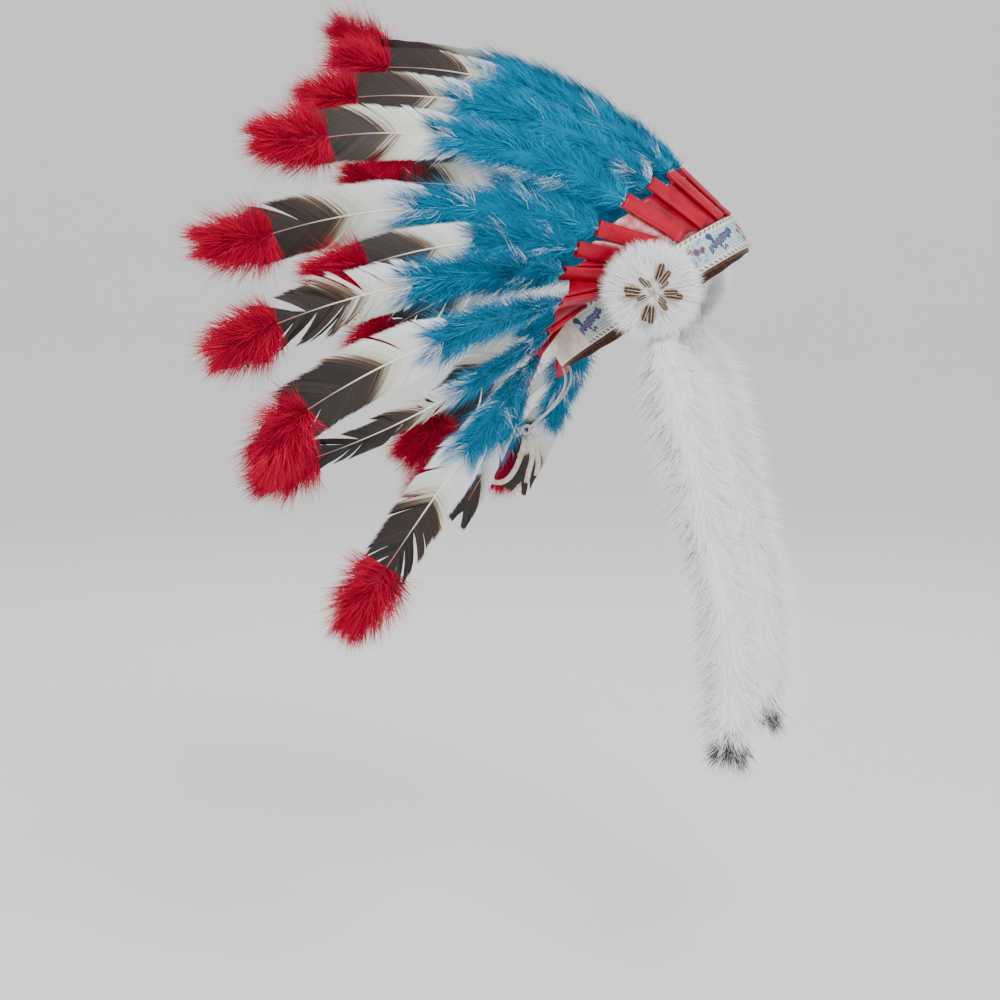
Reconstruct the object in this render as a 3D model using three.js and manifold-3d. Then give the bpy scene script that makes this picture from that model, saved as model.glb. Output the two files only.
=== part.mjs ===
// A feathered headdress in its worn form: a head band with a fan of feathers standing in red vinyl
// wraps, a fur rosette and a long fur drop at each temple, and a tie lace at the nape.
// Millimetres. +X is the front of the head, +Y its left side, +Z up. The origin is the middle of the
// head opening at half the height of the band.
import * as THREE from "three";
import { mergeVertices } from "three/addons/utils/BufferGeometryUtils.js";
import Module from "manifold-3d";

const wasm = await Module();
wasm.setup();

// Head opening and band
const HEAD_LENGTH = 216;
const HEAD_WIDTH = 164;
const BAND_TILT = 33; // degrees that the band rises from nape to brow
const GAP = 0.3; // clearance between pieces that lie against each other

const BAND_STEP = 10; // degrees between the corners of the band's walls
const SWEATBAND_WALL = 1.2;
const SWEATBAND_LOW = -20.5;
const SWEATBAND_HIGH = 12;
const BASE_WALL = 2.4;
const BASE_HEIGHT = 36;
const BASE_END = 172; // degrees round from the brow, where the nape opening begins
const TRIM_WALL = 1;
const TRIM_HEIGHT = 34;
const TRIM_END = 127;

// Feathers and their wraps
const WRAP_LENGTH = 67;
const WRAP_WIDTH = 16;
const WRAP_DEPTH = 5.2;
const QUILL_WIDTH = 4;
const QUILL_DEPTH = 2.6;
const QUILL_FOOT = 5; // how far above its wrap's foot a quill ends
const ON_TOP_SLOPE = 0.2; // least rise of a wrap that stands on the band's top edge
const FEATHER_LENGTH = 400;
const VANE_WIDTH = 52;
const VANE_DEPTH = 2;
const PLUME_WIDTH = 44;
const PLUME_DEPTH = 15;
const TUFT_LENGTH = 76;
const TUFT_WIDTH = 54;
const TUFT_DEPTH = 17;
const LOCK_THICKNESS = 0.2; // half thickness of a tuft's lock at its root, as a share of the half width

// Pleated panel behind the wraps
const PANEL_WALL = 1.2;
const PANEL_HEIGHT = 57;
const PLEAT_DEPTH = 2.6;
const SHARPEST_FOLD = 0.5; // least cosine that the wall's thickness at a fold is measured with
const PANEL_SKIRT = 5; // most that the panel reaches down past the feet of the wraps

// Rosettes at the temples
const ROSETTE_RADIUS = 49;
const ROSETTE_DEPTH = 12;
const ROSETTE_FORWARD = 24;
const ROSETTE_UP = 6;
const ROSETTE_STANDOFF = 21; // from the trim to the middle of the fur disc
const ROSETTE_LEAN = 10; // degrees that the top leans out over the wraps
const ROSETTE_TURN = 16; // degrees that the rear edge stands out over the wraps
const ROSETTE_LOCKS = 12;
const ROSETTE_NOTCH = 0.84; // radius between two locks, as a share of the full radius
const ROSETTE_DOME = 0.6; // radius at which the fur is thickest, as the same share
const HUB_RADIUS = 10;
const BUTTON_RADIUS = 6;
const BUTTON_DEPTH = 4;
const BUTTON_SIDES = 12;
const SMALL_FEATHER_LENGTH = 27;
const SMALL_FEATHER_WIDTH = 9;
const SMALL_FEATHER_DEPTH = 1.8;

// Fur drops
const DROP_LENGTH = 470;
const DROP_WIDTH = 92;
const DROP_DEPTH = 38;
const DROP_SEAT = 29; // how far forward of the middle of the head the drop is stitched on
const DROP_STANDOFF = 10; // from the middle of the tab out to the middle of the fur
const DROP_FORWARD = { left: 112, right: 102 }; // how far forward the lower end of the fur hangs
const TAB_STATIONS = 4; // sections of the flat tab at the drop's top
const LOCK_HANG = 9; // how much lower a lock's point hangs than its root

// Tie lace at the nape
const LACE_WIDTH = 5.4;
const LACE_DEPTH = 2;
const KNOT_SIZE = 11;
const KNOT_BACK = 122;
const KNOT_DOWN = 141;

const BAND_TOP = BASE_HEIGHT / 2;
const BASE_INNER = SWEATBAND_WALL + GAP;
const TRIM_INNER = BASE_INNER + BASE_WALL + GAP;
const TRIM_OUTER = TRIM_INNER + TRIM_WALL;
const BAND_MIDDLE = (BASE_INNER + TRIM_OUTER) / 2;
const PANEL_BEHIND = WRAP_DEPTH / 2 + GAP + PANEL_WALL / 2; // from a wrap's middle to the panel's
const PANEL_REST = BAND_TOP + GAP + PANEL_WALL; // height of the panel over the band at the nape
const radians = THREE.MathUtils.degToRad;

// One row for each feather from the brow round to the nape. around is its place on the band, lift
// and flare are its angles above the level and out to the side, at the wrap and at the tip, in
// degrees. length, width and tuft are shares of the full sizes, and roll turns the vane's face.
const FEATHER_COLUMNS = [
  "around", "lift", "tipLift", "flare", "tipFlare", "length", "width", "roll", "tuft", "tuftLift",
];
const FEATHERS = [
  [0, 43, 0, 0, 0, 0.995, 0.94, 32, 0.95, 30],
  [17, 41, -1, 5, 6, 0.94, 0.94, 28, 0.78, 15],
  [34, 38, -6, 11, 10, 0.94, 0.94, 18, 0.75, 0],
  [50.5, 33, -9, 18, 16, 0.925, 1, 8, 1, 0],
  [63.5, 17, -19, 26, 22, 0.975, 1.1, 4, 1, -5],
  [77, 12, -21, 33, 23, 0.7, 0.85, -30, 0.8, -12],
  [89.5, 4, -24, 46, 25, 0.914, 1.06, -45, 0.95, -31],
  [102, -12, -36, 61, 22, 0.904, 1.08, -60, 1, -63],
  [115, -43, -19, 59, 9, 0.848, 0.74, -35, 0.88, -27],
  [129, -62, -58, 54, 15, 0.847, 1.04, 50, 1, -61],
  [146, -74, -60, 36, 4, 0.46, 0.6, 40, 0.35, -66],
].map((cells) => Object.fromEntries(FEATHER_COLUMNS.map((name, i) => [name, cells[i]])));

// The feathers on the left stand in the same wraps, and some bend another way towards their tips.
// One is longer there and one shorter.
const LEFT_BENDS = {
  4: { tipLift: 0, tipFlare: 19, tuftLift: 6 },
  5: { tipLift: -21, tipFlare: 10, length: 0.955, width: 1.06, tuft: 0.95, tuftLift: -5 },
  6: { tipLift: -34, tipFlare: -21, tuftLift: -53 },
  7: { tipLift: -57, tipFlare: -40, tuftLift: -49 },
  8: { tipLift: -42, tipFlare: -30, tuftLift: -43 },
  9: { tipLift: -50, tipFlare: -12, length: 0.62, width: 0.7, tuft: 0.5, tuftLift: -62 },
};

// Outline of a feather from the top of its wrap to its tip. along is a share of that length; fore
// and aft are half widths and depth the thickness, as shares of the plume, then of the vane.
const PLUME_STATIONS = [
  { along: 0.03, fore: 0.5, aft: 0.4, depth: 0.7 },
  { along: 0.09, fore: 0.5, aft: 0.68, depth: 1 },
  { along: 0.15, fore: 0.76, aft: 0.52, depth: 1 },
  { along: 0.21, fore: 0.58, aft: 0.84, depth: 1 },
  { along: 0.27, fore: 0.9, aft: 0.64, depth: 1 },
  { along: 0.33, fore: 0.68, aft: 0.96, depth: 1 },
  { along: 0.4, fore: 1, aft: 0.72, depth: 0.95 },
  { along: 0.47, fore: 0.76, aft: 1, depth: 0.8 },
];
const VANE_STATIONS = [
  { along: 0.53, fore: 0.84, aft: 0.66, depth: 3.6 },
  { along: 0.59, fore: 0.78, aft: 0.94, depth: 1.6 },
  { along: 0.74, fore: 1, aft: 1, depth: 1 },
  { along: 0.9, fore: 0.94, aft: 0.74, depth: 1 },
  { along: 0.96, fore: 0.5, aft: 0.62, depth: 2.4 },
];
const TUFT_STATIONS = [
  { along: 0.1, fore: 0.6, aft: 0.5, depth: 0.8 },
  { along: 0.3, fore: 0.72, aft: 1, depth: 1 },
  { along: 0.52, fore: 1, aft: 0.66, depth: 1 },
  { along: 0.74, fore: 0.56, aft: 0.78, depth: 0.8 },
  { along: 0.9, fore: 0.42, aft: 0.2, depth: 0.4 },
  { along: 1, fore: 0.04, aft: 0.04, depth: 0.1 },
];
// Loose locks of a tuft: where they leave its middle, their turn in the vane's plane in degrees,
// their rise out of it and their reach, as shares of the tuft's length.
const TUFT_LOCKS = [
  { from: 0.12, turn: 74, rise: 0.12, reach: 0.4 },
  { from: 0.2, turn: -66, rise: -0.14, reach: 0.44 },
  { from: 0.48, turn: 38, rise: -0.12, reach: 0.5 },
];

// Small striped feathers on a rosette: turn from level front, up being 90, and length and width
// as shares of the full size.
const SMALL_FEATHERS = [
  { turn: 72, length: 1, width: 1 },
  { turn: 44, length: 0.88, width: 0.8 },
  { turn: 134, length: 0.72, width: 0.8 },
  { turn: 176, length: 1, width: 1 },
  { turn: 262, length: 0.98, width: 1 },
  { turn: 310, length: 0.7, width: 0.75 },
  { turn: 352, length: 0.98, width: 0.95 },
];

// The hang of a fur drop: down as a share of its length, forward as a share of the way from its
// seat under the rosette to its lower end, out from the tab as a share of DROP_STANDOFF, fore and
// aft half widths as shares of DROP_WIDTH, and depth of DROP_DEPTH.
const DROP_STATIONS = [
  { down: 0.004, forward: 0, out: 0, fore: 0.1, aft: 0.1, depth: 0.08 },
  { down: 0.045, forward: 0, out: 0, fore: 0.12, aft: 0.12, depth: 0.08 },
  { down: 0.08, forward: 0.02, out: -0.2, fore: 0.14, aft: 0.14, depth: 0.08 },
  { down: 0.101, forward: 0.06, out: 0.4, fore: 0.3, aft: 0.32, depth: 0.36 },
  { down: 0.16, forward: 0.16, out: 0.9, fore: 0.46, aft: 0.54, depth: 1 },
  { down: 0.23, forward: 0.29, out: 1, fore: 0.52, aft: 0.46, depth: 1 },
  { down: 0.3, forward: 0.43, out: 1.1, fore: 0.44, aft: 0.5, depth: 1 },
  { down: 0.37, forward: 0.52, out: 1.1, fore: 0.48, aft: 0.42, depth: 1 },
  { down: 0.44, forward: 0.61, out: 1, fore: 0.42, aft: 0.47, depth: 1 },
  { down: 0.51, forward: 0.73, out: 0.9, fore: 0.45, aft: 0.4, depth: 0.96 },
  { down: 0.58, forward: 0.83, out: 0.8, fore: 0.39, aft: 0.44, depth: 0.94 },
  { down: 0.65, forward: 0.92, out: 0.7, fore: 0.42, aft: 0.37, depth: 0.92 },
  { down: 0.72, forward: 0.97, out: 0.6, fore: 0.36, aft: 0.41, depth: 0.9 },
  { down: 0.79, forward: 1, out: 0.5, fore: 0.38, aft: 0.33, depth: 0.86 },
  { down: 0.86, forward: 1, out: 0.4, fore: 0.31, aft: 0.35, depth: 0.8 },
  { down: 0.92, forward: 0.99, out: 0.3, fore: 0.25, aft: 0.2, depth: 0.6 },
  { down: 0.97, forward: 0.96, out: 0.3, fore: 0.13, aft: 0.17, depth: 0.4 },
  { down: 1, forward: 0.93, out: 0.3, fore: 0.02, aft: 0.02, depth: 0.08 },
];

// Routes of the tie lace as forward, left and up, in millimetres from the middle of the knot. The
// left and right laces run from the knot to the two ends of the band, the bow and the tails hang.
const LACE_ROUTE = [
  [3.9, 3.1, 3.3],
  [10, 3.9, 8],
  [19, 6, 16],
  [29, 9, 26],
  [38, 12, 38],
  [43, 14, 50],
  [42.6, 15.2, 59.4],
  [40.4, 15.4, 65.4],
];
const BOW_ROUTE = [
  [-5.2, -2.1, -1.9],
  [-16, -3.6, -8],
  [-28, -4, -20],
  [-37, -3.2, -33],
  [-40, -1.4, -46],
  [-33, 0.6, -55],
  [-21, 2, -52],
  [-12, 2.8, -40],
  [-7, 3.2, -27],
  [-3.6, 2.8, -15],
  [-1.8, 2, -5.3],
];
const TAIL_ROUTES = {
  front: [
    [2.7, -1, -5.2],
    [6.5, -2.4, -18],
    [6, -3.4, -31],
    [3, -3.8, -43],
    [0.4, -3, -54],
  ],
  rear: [
    [2.2, 3.8, -4.1],
    [6, 8, -14],
    [9, 10.4, -26],
    [9.5, 11, -38],
    [8, 10, -48],
  ],
};

const headdress = new THREE.Group();
const crown = new THREE.Group(); // everything that tilts with the band
crown.rotation.y = -radians(BAND_TILT);
headdress.add(crown);

// The colours and finishes of the pieces.
const FINISHES = {
  feather: { color: 0x1393b4, roughness: 0.85, metalness: 0 },
  vinyl: { color: 0xc9202f, roughness: 0.28, metalness: 0 },
  suede: { color: 0x4c3022, roughness: 0.95, metalness: 0 },
  cotton: { color: 0xe9e6dd, roughness: 0.9, metalness: 0 },
  braid: { color: 0xc9dcdd, roughness: 0.75, metalness: 0 },
  fur: { color: 0xf1f1ef, roughness: 0.9, metalness: 0 },
  hackle: { color: 0x8a6a4c, roughness: 0.8, metalness: 0 },
  lace: { color: 0xcdc4b8, roughness: 0.9, metalness: 0 },
};

function add(group, name, geometry, finish) {
  const mesh = new THREE.Mesh(geometry, new THREE.MeshStandardMaterial(FINISHES[finish]));
  mesh.name = name;
  group.add(mesh);
}

// A closed body through rings of equally many points, with flat fans over its two end rings.
function loft(rings) {
  const count = rings[0].length;
  const points = rings.flat();
  const faces = [];
  for (let r = 0; r + 1 < rings.length; r++) {
    for (let i = 0; i < count; i++) {
      const a = r * count + i;
      const b = r * count + ((i + 1) % count);
      faces.push(a, b, b + count, a, b + count, a + count);
    }
  }
  const last = (rings.length - 1) * count;
  for (let i = 1; i + 1 < count; i++) faces.push(0, i + 1, i, last, last + i, last + i + 1);
  return facingOut(points, faces);
}

function facingOut(points, faces) {
  let volume = 0;
  for (let i = 0; i < faces.length; i += 3) {
    const [a, b, c] = [points[faces[i]], points[faces[i + 1]], points[faces[i + 2]]];
    volume += a.dot(b.clone().cross(c));
  }
  if (volume < 0) faces.reverse();
  const geometry = new THREE.BufferGeometry().setFromPoints(points);
  geometry.setIndex(faces);
  geometry.computeVertexNormals();
  return geometry;
}

function solidOf(geometry) {
  const bare = geometry.clone();
  bare.deleteAttribute("normal");
  bare.deleteAttribute("uv");
  const merged = mergeVertices(bare, 1e-4);
  return new wasm.Manifold(
    new wasm.Mesh({
      numProp: 3,
      vertProperties: new Float32Array(merged.attributes.position.array),
      triVerts: new Uint32Array(merged.index.array),
    }),
  );
}

function fused(geometries) {
  const whole = geometries.map(solidOf).reduce((sum, piece) => sum.add(piece));
  const { vertProperties, triVerts } = whole.getMesh();
  const geometry = new THREE.BufferGeometry();
  geometry.setAttribute("position", new THREE.BufferAttribute(vertProperties, 3));
  geometry.setIndex(new THREE.BufferAttribute(triVerts, 1));
  geometry.computeVertexNormals();
  return geometry;
}

// The head opening is an ellipse. offset is measured outward from it and around in degrees from
// the brow, towards the left, in the frame of the band.
function ringPoint(around, offset, height) {
  const a = radians(around);
  return new THREE.Vector3(
    (HEAD_LENGTH / 2 + offset) * Math.cos(a),
    (HEAD_WIDTH / 2 + offset) * Math.sin(a),
    height,
  );
}

function ringOutward(around) {
  const a = radians(around);
  return new THREE.Vector3(Math.cos(a) / HEAD_LENGTH, Math.sin(a) / HEAD_WIDTH, 0).normalize();
}

function ringTangent(around) {
  const a = radians(around);
  return new THREE.Vector3(-Math.sin(a) * HEAD_LENGTH, Math.cos(a) * HEAD_WIDTH, 0).normalize();
}

// A wall of the band from one side of the nape opening to the other. All walls share the same
// corners, so that their flat facets lie parallel.
function bandWall(inner, wall, low, high, end) {
  const corners = [-end];
  const first = -Math.floor((end - 1) / BAND_STEP) * BAND_STEP;
  for (let around = first; around < end; around += BAND_STEP) corners.push(around);
  corners.push(end);
  return loft(corners.map((around) => [
    ringPoint(around, inner, low),
    ringPoint(around, inner + wall, low),
    ringPoint(around, inner + wall, high),
    ringPoint(around, inner, high),
  ]));
}

function addBand() {
  add(
    crown,
    "sweatband",
    bandWall(0, SWEATBAND_WALL, SWEATBAND_LOW, SWEATBAND_HIGH, BASE_END),
    "suede",
  );
  add(
    crown,
    "base_band",
    bandWall(BASE_INNER, BASE_WALL, -BASE_HEIGHT / 2, BASE_HEIGHT / 2, BASE_END),
    "cotton",
  );
  add(
    crown,
    "patterned_trim",
    bandWall(TRIM_INNER, TRIM_WALL, -TRIM_HEIGHT / 2, TRIM_HEIGHT / 2, TRIM_END),
    "braid",
  );
}

// A direction with this lift above the level and this flare to the left, in the band's frame.
function heading(lift, flare) {
  const l = radians(lift);
  const f = radians(flare);
  const level = new THREE.Vector3(
    -Math.cos(l) * Math.cos(f),
    Math.sin(f),
    Math.sin(l) * Math.cos(f),
  );
  return level.applyAxisAngle(new THREE.Vector3(0, 1, 0), radians(BAND_TILT));
}

// The foot of a feather's wrap: where it starts, and its directions along, across and out of its
// face. A wrap stands on the band's top edge, or where it points below that edge, as at the nape,
// on the band's outer face.
function wrapFoot(row) {
  const along = heading(row.lift, row.flare);
  const across = ringTangent(row.around).projectOnPlane(along).normalize();
  const face = across.clone().cross(along).normalize();
  const reachTo = (direction) =>
    (WRAP_WIDTH / 2) * Math.abs(across.dot(direction)) +
    (WRAP_DEPTH / 2) * Math.abs(face.dot(direction));
  const standsOnTop = along.z > ON_TOP_SLOPE;
  const outward = ringOutward(row.around);
  const point = standsOnTop
    ? ringPoint(row.around, BAND_MIDDLE, BAND_TOP + GAP + reachTo(new THREE.Vector3(0, 0, 1)))
    : ringPoint(row.around, TRIM_OUTER + GAP, PANEL_REST - PANEL_BEHIND * Math.abs(face.z));
  if (!standsOnTop) point.addScaledVector(outward, reachTo(outward));
  return { point, along, across, face };
}

// Points and directions at each of the given distances along a feather, from its wrap's foot.
function followFeather(row, distances) {
  const foot = wrapFoot(row);
  const length = row.length * FEATHER_LENGTH;
  const step = 2;
  const point = foot.point.clone();
  let { along, across } = foot;
  let travelled = 0;
  return distances.map((distance) => {
    while (travelled < distance - 1e-6) {
      const stride = Math.min(step, distance - travelled);
      const middle = travelled + stride / 2;
      const bend = THREE.MathUtils.clamp((middle - WRAP_LENGTH) / (length - WRAP_LENGTH), 0, 1);
      const past = THREE.MathUtils.clamp((middle - length) / (0.3 * TUFT_LENGTH), 0, 1);
      const lift = THREE.MathUtils.lerp(row.lift, row.tipLift, bend);
      const flare = THREE.MathUtils.lerp(row.flare, row.tipFlare, bend);
      along = heading(THREE.MathUtils.lerp(lift, row.tuftLift, past), flare);
      across = across.clone().projectOnPlane(along).normalize();
      point.addScaledVector(along, stride);
      travelled += stride;
    }
    const turned = THREE.MathUtils.smoothstep(travelled, WRAP_LENGTH, 0.6 * length);
    const rolled = across.clone().applyAxisAngle(along, radians(row.roll) * turned);
    return { point: point.clone(), along, across: rolled, face: rolled.clone().cross(along) };
  });
}

// A six-sided ring: fore and aft are the half widths of its two sharp edges.
function featherRing(place, fore, aft, depth) {
  const corner = (x, y) =>
    place.point.clone().addScaledVector(place.across, x).addScaledVector(place.face, y);
  return [
    corner(fore, 0),
    corner(fore / 2, depth / 2),
    corner(-aft / 2, depth / 2),
    corner(-aft, 0),
    corner(-aft / 2, -depth / 2),
    corner(fore / 2, -depth / 2),
  ];
}

function mirrored(geometry, side) {
  if (side > 0) return geometry;
  const position = geometry.attributes.position;
  const points = [];
  for (let i = 0; i < position.count; i++) {
    points.push(new THREE.Vector3().fromBufferAttribute(position, i));
    points[i].y *= -1;
  }
  return facingOut(points, [...geometry.index.array]);
}

// Quill, fluffy dyed plume, stiff vane and marabou tuft of one feather, made as one body.
function featherGeometry(row) {
  const length = row.length * FEATHER_LENGTH;
  const blade = length - WRAP_LENGTH;
  const tuftLength = row.tuft * TUFT_LENGTH;
  const vaneHalf = (row.width * VANE_WIDTH) / 2;
  const plumeHalf = (Math.sqrt(row.width) * PLUME_WIDTH) / 2;
  const tuftHalf = (row.tuft * TUFT_WIDTH) / 2;
  const stations = [
    { at: QUILL_FOOT, fore: QUILL_WIDTH / 2, aft: QUILL_WIDTH / 2, depth: QUILL_DEPTH },
    { at: WRAP_LENGTH + GAP, fore: QUILL_WIDTH / 2, aft: QUILL_WIDTH / 2, depth: QUILL_DEPTH },
  ];
  const addStations = (rows, start, span, half, depth) => {
    for (const s of rows) {
      stations.push({
        at: start + s.along * span,
        fore: s.fore * half,
        aft: s.aft * half,
        depth: s.depth * depth,
      });
    }
  };
  addStations(PLUME_STATIONS, WRAP_LENGTH, blade, plumeHalf, PLUME_DEPTH);
  addStations(VANE_STATIONS, WRAP_LENGTH, blade, vaneHalf, VANE_DEPTH);
  addStations(TUFT_STATIONS, length, tuftLength, tuftHalf, TUFT_DEPTH);
  const places = followFeather(row, stations.map((s) => s.at));
  const body = loft(places.map((place, i) => {
    const { fore, aft, depth } = stations[i];
    return featherRing(place, fore, aft, depth);
  }));
  const locks = TUFT_LOCKS.map((lock) => {
    const [root] = followFeather(row, [length + lock.from * tuftLength]);
    return tuftLock(root, lock, tuftLength, tuftHalf);
  });
  return fused([body, ...locks]);
}

// One pointed lock of marabou, three-sided, bent a little towards the feather's tip.
function tuftLock(root, lock, length, half) {
  const turn = radians(lock.turn);
  const reach = lock.reach * length;
  const heart = LOCK_THICKNESS * half;
  const lean = (share, forward) =>
    root.point
      .clone()
      .addScaledVector(root.across, share * reach * Math.sin(turn))
      .addScaledVector(root.along, share * reach * Math.cos(turn) + forward * reach)
      .addScaledVector(root.face, share * lock.rise * length);
  const rings = [
    { at: lean(0, 0), size: heart },
    { at: lean(0.6, 0), size: 0.8 * heart },
    { at: lean(1, 0.22), size: 0.08 * heart },
  ];
  return loft(rings.map(({ at, size }) => [
    at.clone().addScaledVector(root.face, size),
    at.clone().addScaledVector(root.along, size).addScaledVector(root.face, -size / 2),
    at.clone().addScaledVector(root.along, -size).addScaledVector(root.face, -size / 2),
  ]));
}

// A flattened sleeve of folded vinyl round the quill.
function wrapGeometry(row) {
  const foot = wrapFoot(row);
  const halfWidth = WRAP_WIDTH / 2;
  const halfDepth = WRAP_DEPTH / 2;
  const bevel = halfDepth * 0.7;
  const outline = new THREE.Shape([
    new THREE.Vector2(halfWidth, -halfDepth + bevel),
    new THREE.Vector2(halfWidth, halfDepth - bevel),
    new THREE.Vector2(halfWidth - bevel, halfDepth),
    new THREE.Vector2(-halfWidth + bevel, halfDepth),
    new THREE.Vector2(-halfWidth, halfDepth - bevel),
    new THREE.Vector2(-halfWidth, -halfDepth + bevel),
    new THREE.Vector2(-halfWidth + bevel, -halfDepth),
    new THREE.Vector2(halfWidth - bevel, -halfDepth),
  ]);
  const boreX = QUILL_WIDTH / 2 + GAP;
  const boreY = QUILL_DEPTH / 2 + GAP;
  outline.holes.push(
    new THREE.Path([
      new THREE.Vector2(boreX, -boreY),
      new THREE.Vector2(-boreX, -boreY),
      new THREE.Vector2(-boreX, boreY),
      new THREE.Vector2(boreX, boreY),
    ]),
  );
  const sleeve = new THREE.ExtrudeGeometry(outline, { depth: WRAP_LENGTH, bevelEnabled: false });
  const frame = new THREE.Matrix4().makeBasis(
    foot.across,
    foot.across.clone().cross(foot.along).negate(),
    foot.along,
  );
  sleeve.applyMatrix4(frame.setPosition(foot.point));
  sleeve.deleteAttribute("normal");
  sleeve.deleteAttribute("uv");
  return mergeVertices(sleeve, 1e-4);
}

function addFeathers() {
  FEATHERS.forEach((row, k) => {
    const sides = k === 0 ? [1] : [-1, 1];
    for (const side of sides) {
      const number = String(side > 0 ? 11 + k : 11 - k).padStart(2, "0");
      const bent = side > 0 ? { ...row, ...LEFT_BENDS[k] } : row;
      add(crown, `feather_${number}`, mirrored(featherGeometry(bent), side), "feather");
      add(crown, `wrap_${number}`, mirrored(wrapGeometry(row), side), "vinyl");
    }
  });
}

// The pleated vinyl panel that joins the wraps: it lies flat behind each wrap and stands forward
// between them. Each fold is a line up the panel, given by its lower end and its direction.
function panelFold(row, shift) {
  const foot = wrapFoot(row);
  const start = foot.point
    .clone()
    .addScaledVector(foot.face, -PANEL_BEHIND)
    .addScaledVector(foot.across, shift);
  const lowest = BAND_TOP + GAP + (PANEL_WALL / 2) * Math.abs(foot.face.z);
  const spare = foot.along.z > ON_TOP_SLOPE ? (start.z - lowest) / foot.along.z : 0;
  start.addScaledVector(foot.along, -Math.min(spare, PANEL_SKIRT));
  return { start, along: foot.along, face: foot.face };
}

// The pleat between two flats: it starts level with them and stands forward at its top.
function foldBetween(one, next) {
  const mix = (key) => one[key].clone().add(next[key]).multiplyScalar(0.5);
  const face = mix("face").normalize();
  const rise = mix("along").multiplyScalar(PANEL_HEIGHT).addScaledVector(face, PLEAT_DEPTH);
  return { start: mix("start"), along: rise.normalize(), face };
}

function otherSideOf({ start, along, face }) {
  const flipped = (v) => new THREE.Vector3(v.x, -v.y, v.z);
  return { start: flipped(start), along: flipped(along), face: flipped(face) };
}

// The wall keeps its thickness round each fold, so half of it is measured square to both flats
// that meet there.
function halfWall(folds, i, height) {
  const at = (j) => folds[j].start.clone().addScaledVector(folds[j].along, height);
  const flats = [];
  for (const j of [i - 1, i]) {
    if (j < 0 || j + 1 === folds.length) continue;
    const along = folds[j].along.clone().add(folds[j + 1].along);
    flats.push(at(j + 1).sub(at(j)).cross(along).normalize());
  }
  const middle = flats.reduce((sum, flat) => sum.add(flat), new THREE.Vector3()).normalize();
  const square = Math.max(middle.dot(flats[0]), SHARPEST_FOLD);
  return middle.multiplyScalar(PANEL_WALL / 2 / square);
}

function foldRing(folds, i) {
  const { start, along } = folds[i];
  const top = start.clone().addScaledVector(along, PANEL_HEIGHT);
  const low = halfWall(folds, i, 0);
  const high = halfWall(folds, i, PANEL_HEIGHT);
  return [
    start.clone().sub(low),
    start.clone().add(low),
    top.clone().add(high),
    top.clone().sub(high),
  ];
}

function addPanel() {
  const half = WRAP_WIDTH / 2 + GAP + PANEL_WALL;
  const folds = [panelFold(FEATHERS[0], half)];
  for (const row of FEATHERS.slice(1)) {
    const next = panelFold(row, -half);
    folds.push(foldBetween(folds.at(-1), next), next, panelFold(row, half));
  }
  const all = [...folds.map(otherSideOf).reverse(), ...folds];
  add(crown, "pleated_panel", loft(all.map((_, i) => foldRing(all, i))), "vinyl");
}

// Turns a point from the level frame of the whole headdress into the tilted frame of the band.
function inBandFrame(point) {
  return point.clone().applyAxisAngle(new THREE.Vector3(0, 1, 0), radians(BAND_TILT));
}

// How far the trim's outer face stands from the middle plane at a place along the band.
function trimReach(forward) {
  const share = forward / (HEAD_LENGTH / 2 + TRIM_OUTER);
  return (HEAD_WIDTH / 2 + TRIM_OUTER) * Math.sqrt(1 - share * share);
}

// The middle of a rosette and its directions: forward and up in its plane, and out of its face.
function rosettePlace() {
  const turn = radians(ROSETTE_TURN);
  const lean = radians(ROSETTE_LEAN);
  const out = new THREE.Vector3(
    Math.sin(turn) * Math.cos(lean),
    Math.cos(turn) * Math.cos(lean),
    -Math.sin(lean),
  );
  const forward = new THREE.Vector3(Math.cos(turn), -Math.sin(turn), 0);
  const up = forward.clone().cross(out);
  const seat = trimReach(ROSETTE_FORWARD * Math.cos(radians(BAND_TILT)));
  const point = new THREE.Vector3(ROSETTE_FORWARD, seat + ROSETTE_STANDOFF, ROSETTE_UP);
  return { point, forward, up, out };
}

function rosettePoint(place, turn, radius, raised) {
  return place.point
    .clone()
    .addScaledVector(place.forward, radius * Math.cos(turn))
    .addScaledVector(place.up, radius * Math.sin(turn))
    .addScaledVector(place.out, raised);
}

// Moves a point of the hub straight in until it lies against the trim.
function seatedOnTrim(point, out) {
  const seated = point.clone();
  for (let i = 0; i < 6; i++) {
    const spare = seated.y - trimReach(inBandFrame(seated).x) - GAP;
    seated.addScaledVector(out, -spare / out.y);
  }
  return seated;
}

// A disc of fur in pointed locks on a short hub of backing that is stitched to the trim.
function rosetteGeometry() {
  const place = rosettePlace();
  const count = 2 * ROSETTE_LOCKS;
  const ring = (pick) => Array.from({ length: count }, (_, i) => pick((i / count) * 2 * Math.PI, i));
  const half = ROSETTE_DEPTH / 2;
  const root = ring((turn) => rosettePoint(place, turn, HUB_RADIUS, -half));
  const rim = (turn, i) =>
    rosettePoint(place, turn, ROSETTE_RADIUS * (i % 2 ? ROSETTE_NOTCH : 1), 0);
  return loft([
    root.map((point) => seatedOnTrim(point, place.out)),
    root,
    ring(rim),
    ring((turn) => rosettePoint(place, turn, ROSETTE_DOME * ROSETTE_RADIUS, half)),
    ring((turn) => rosettePoint(place, turn, HUB_RADIUS, half)),
  ]);
}

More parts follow.
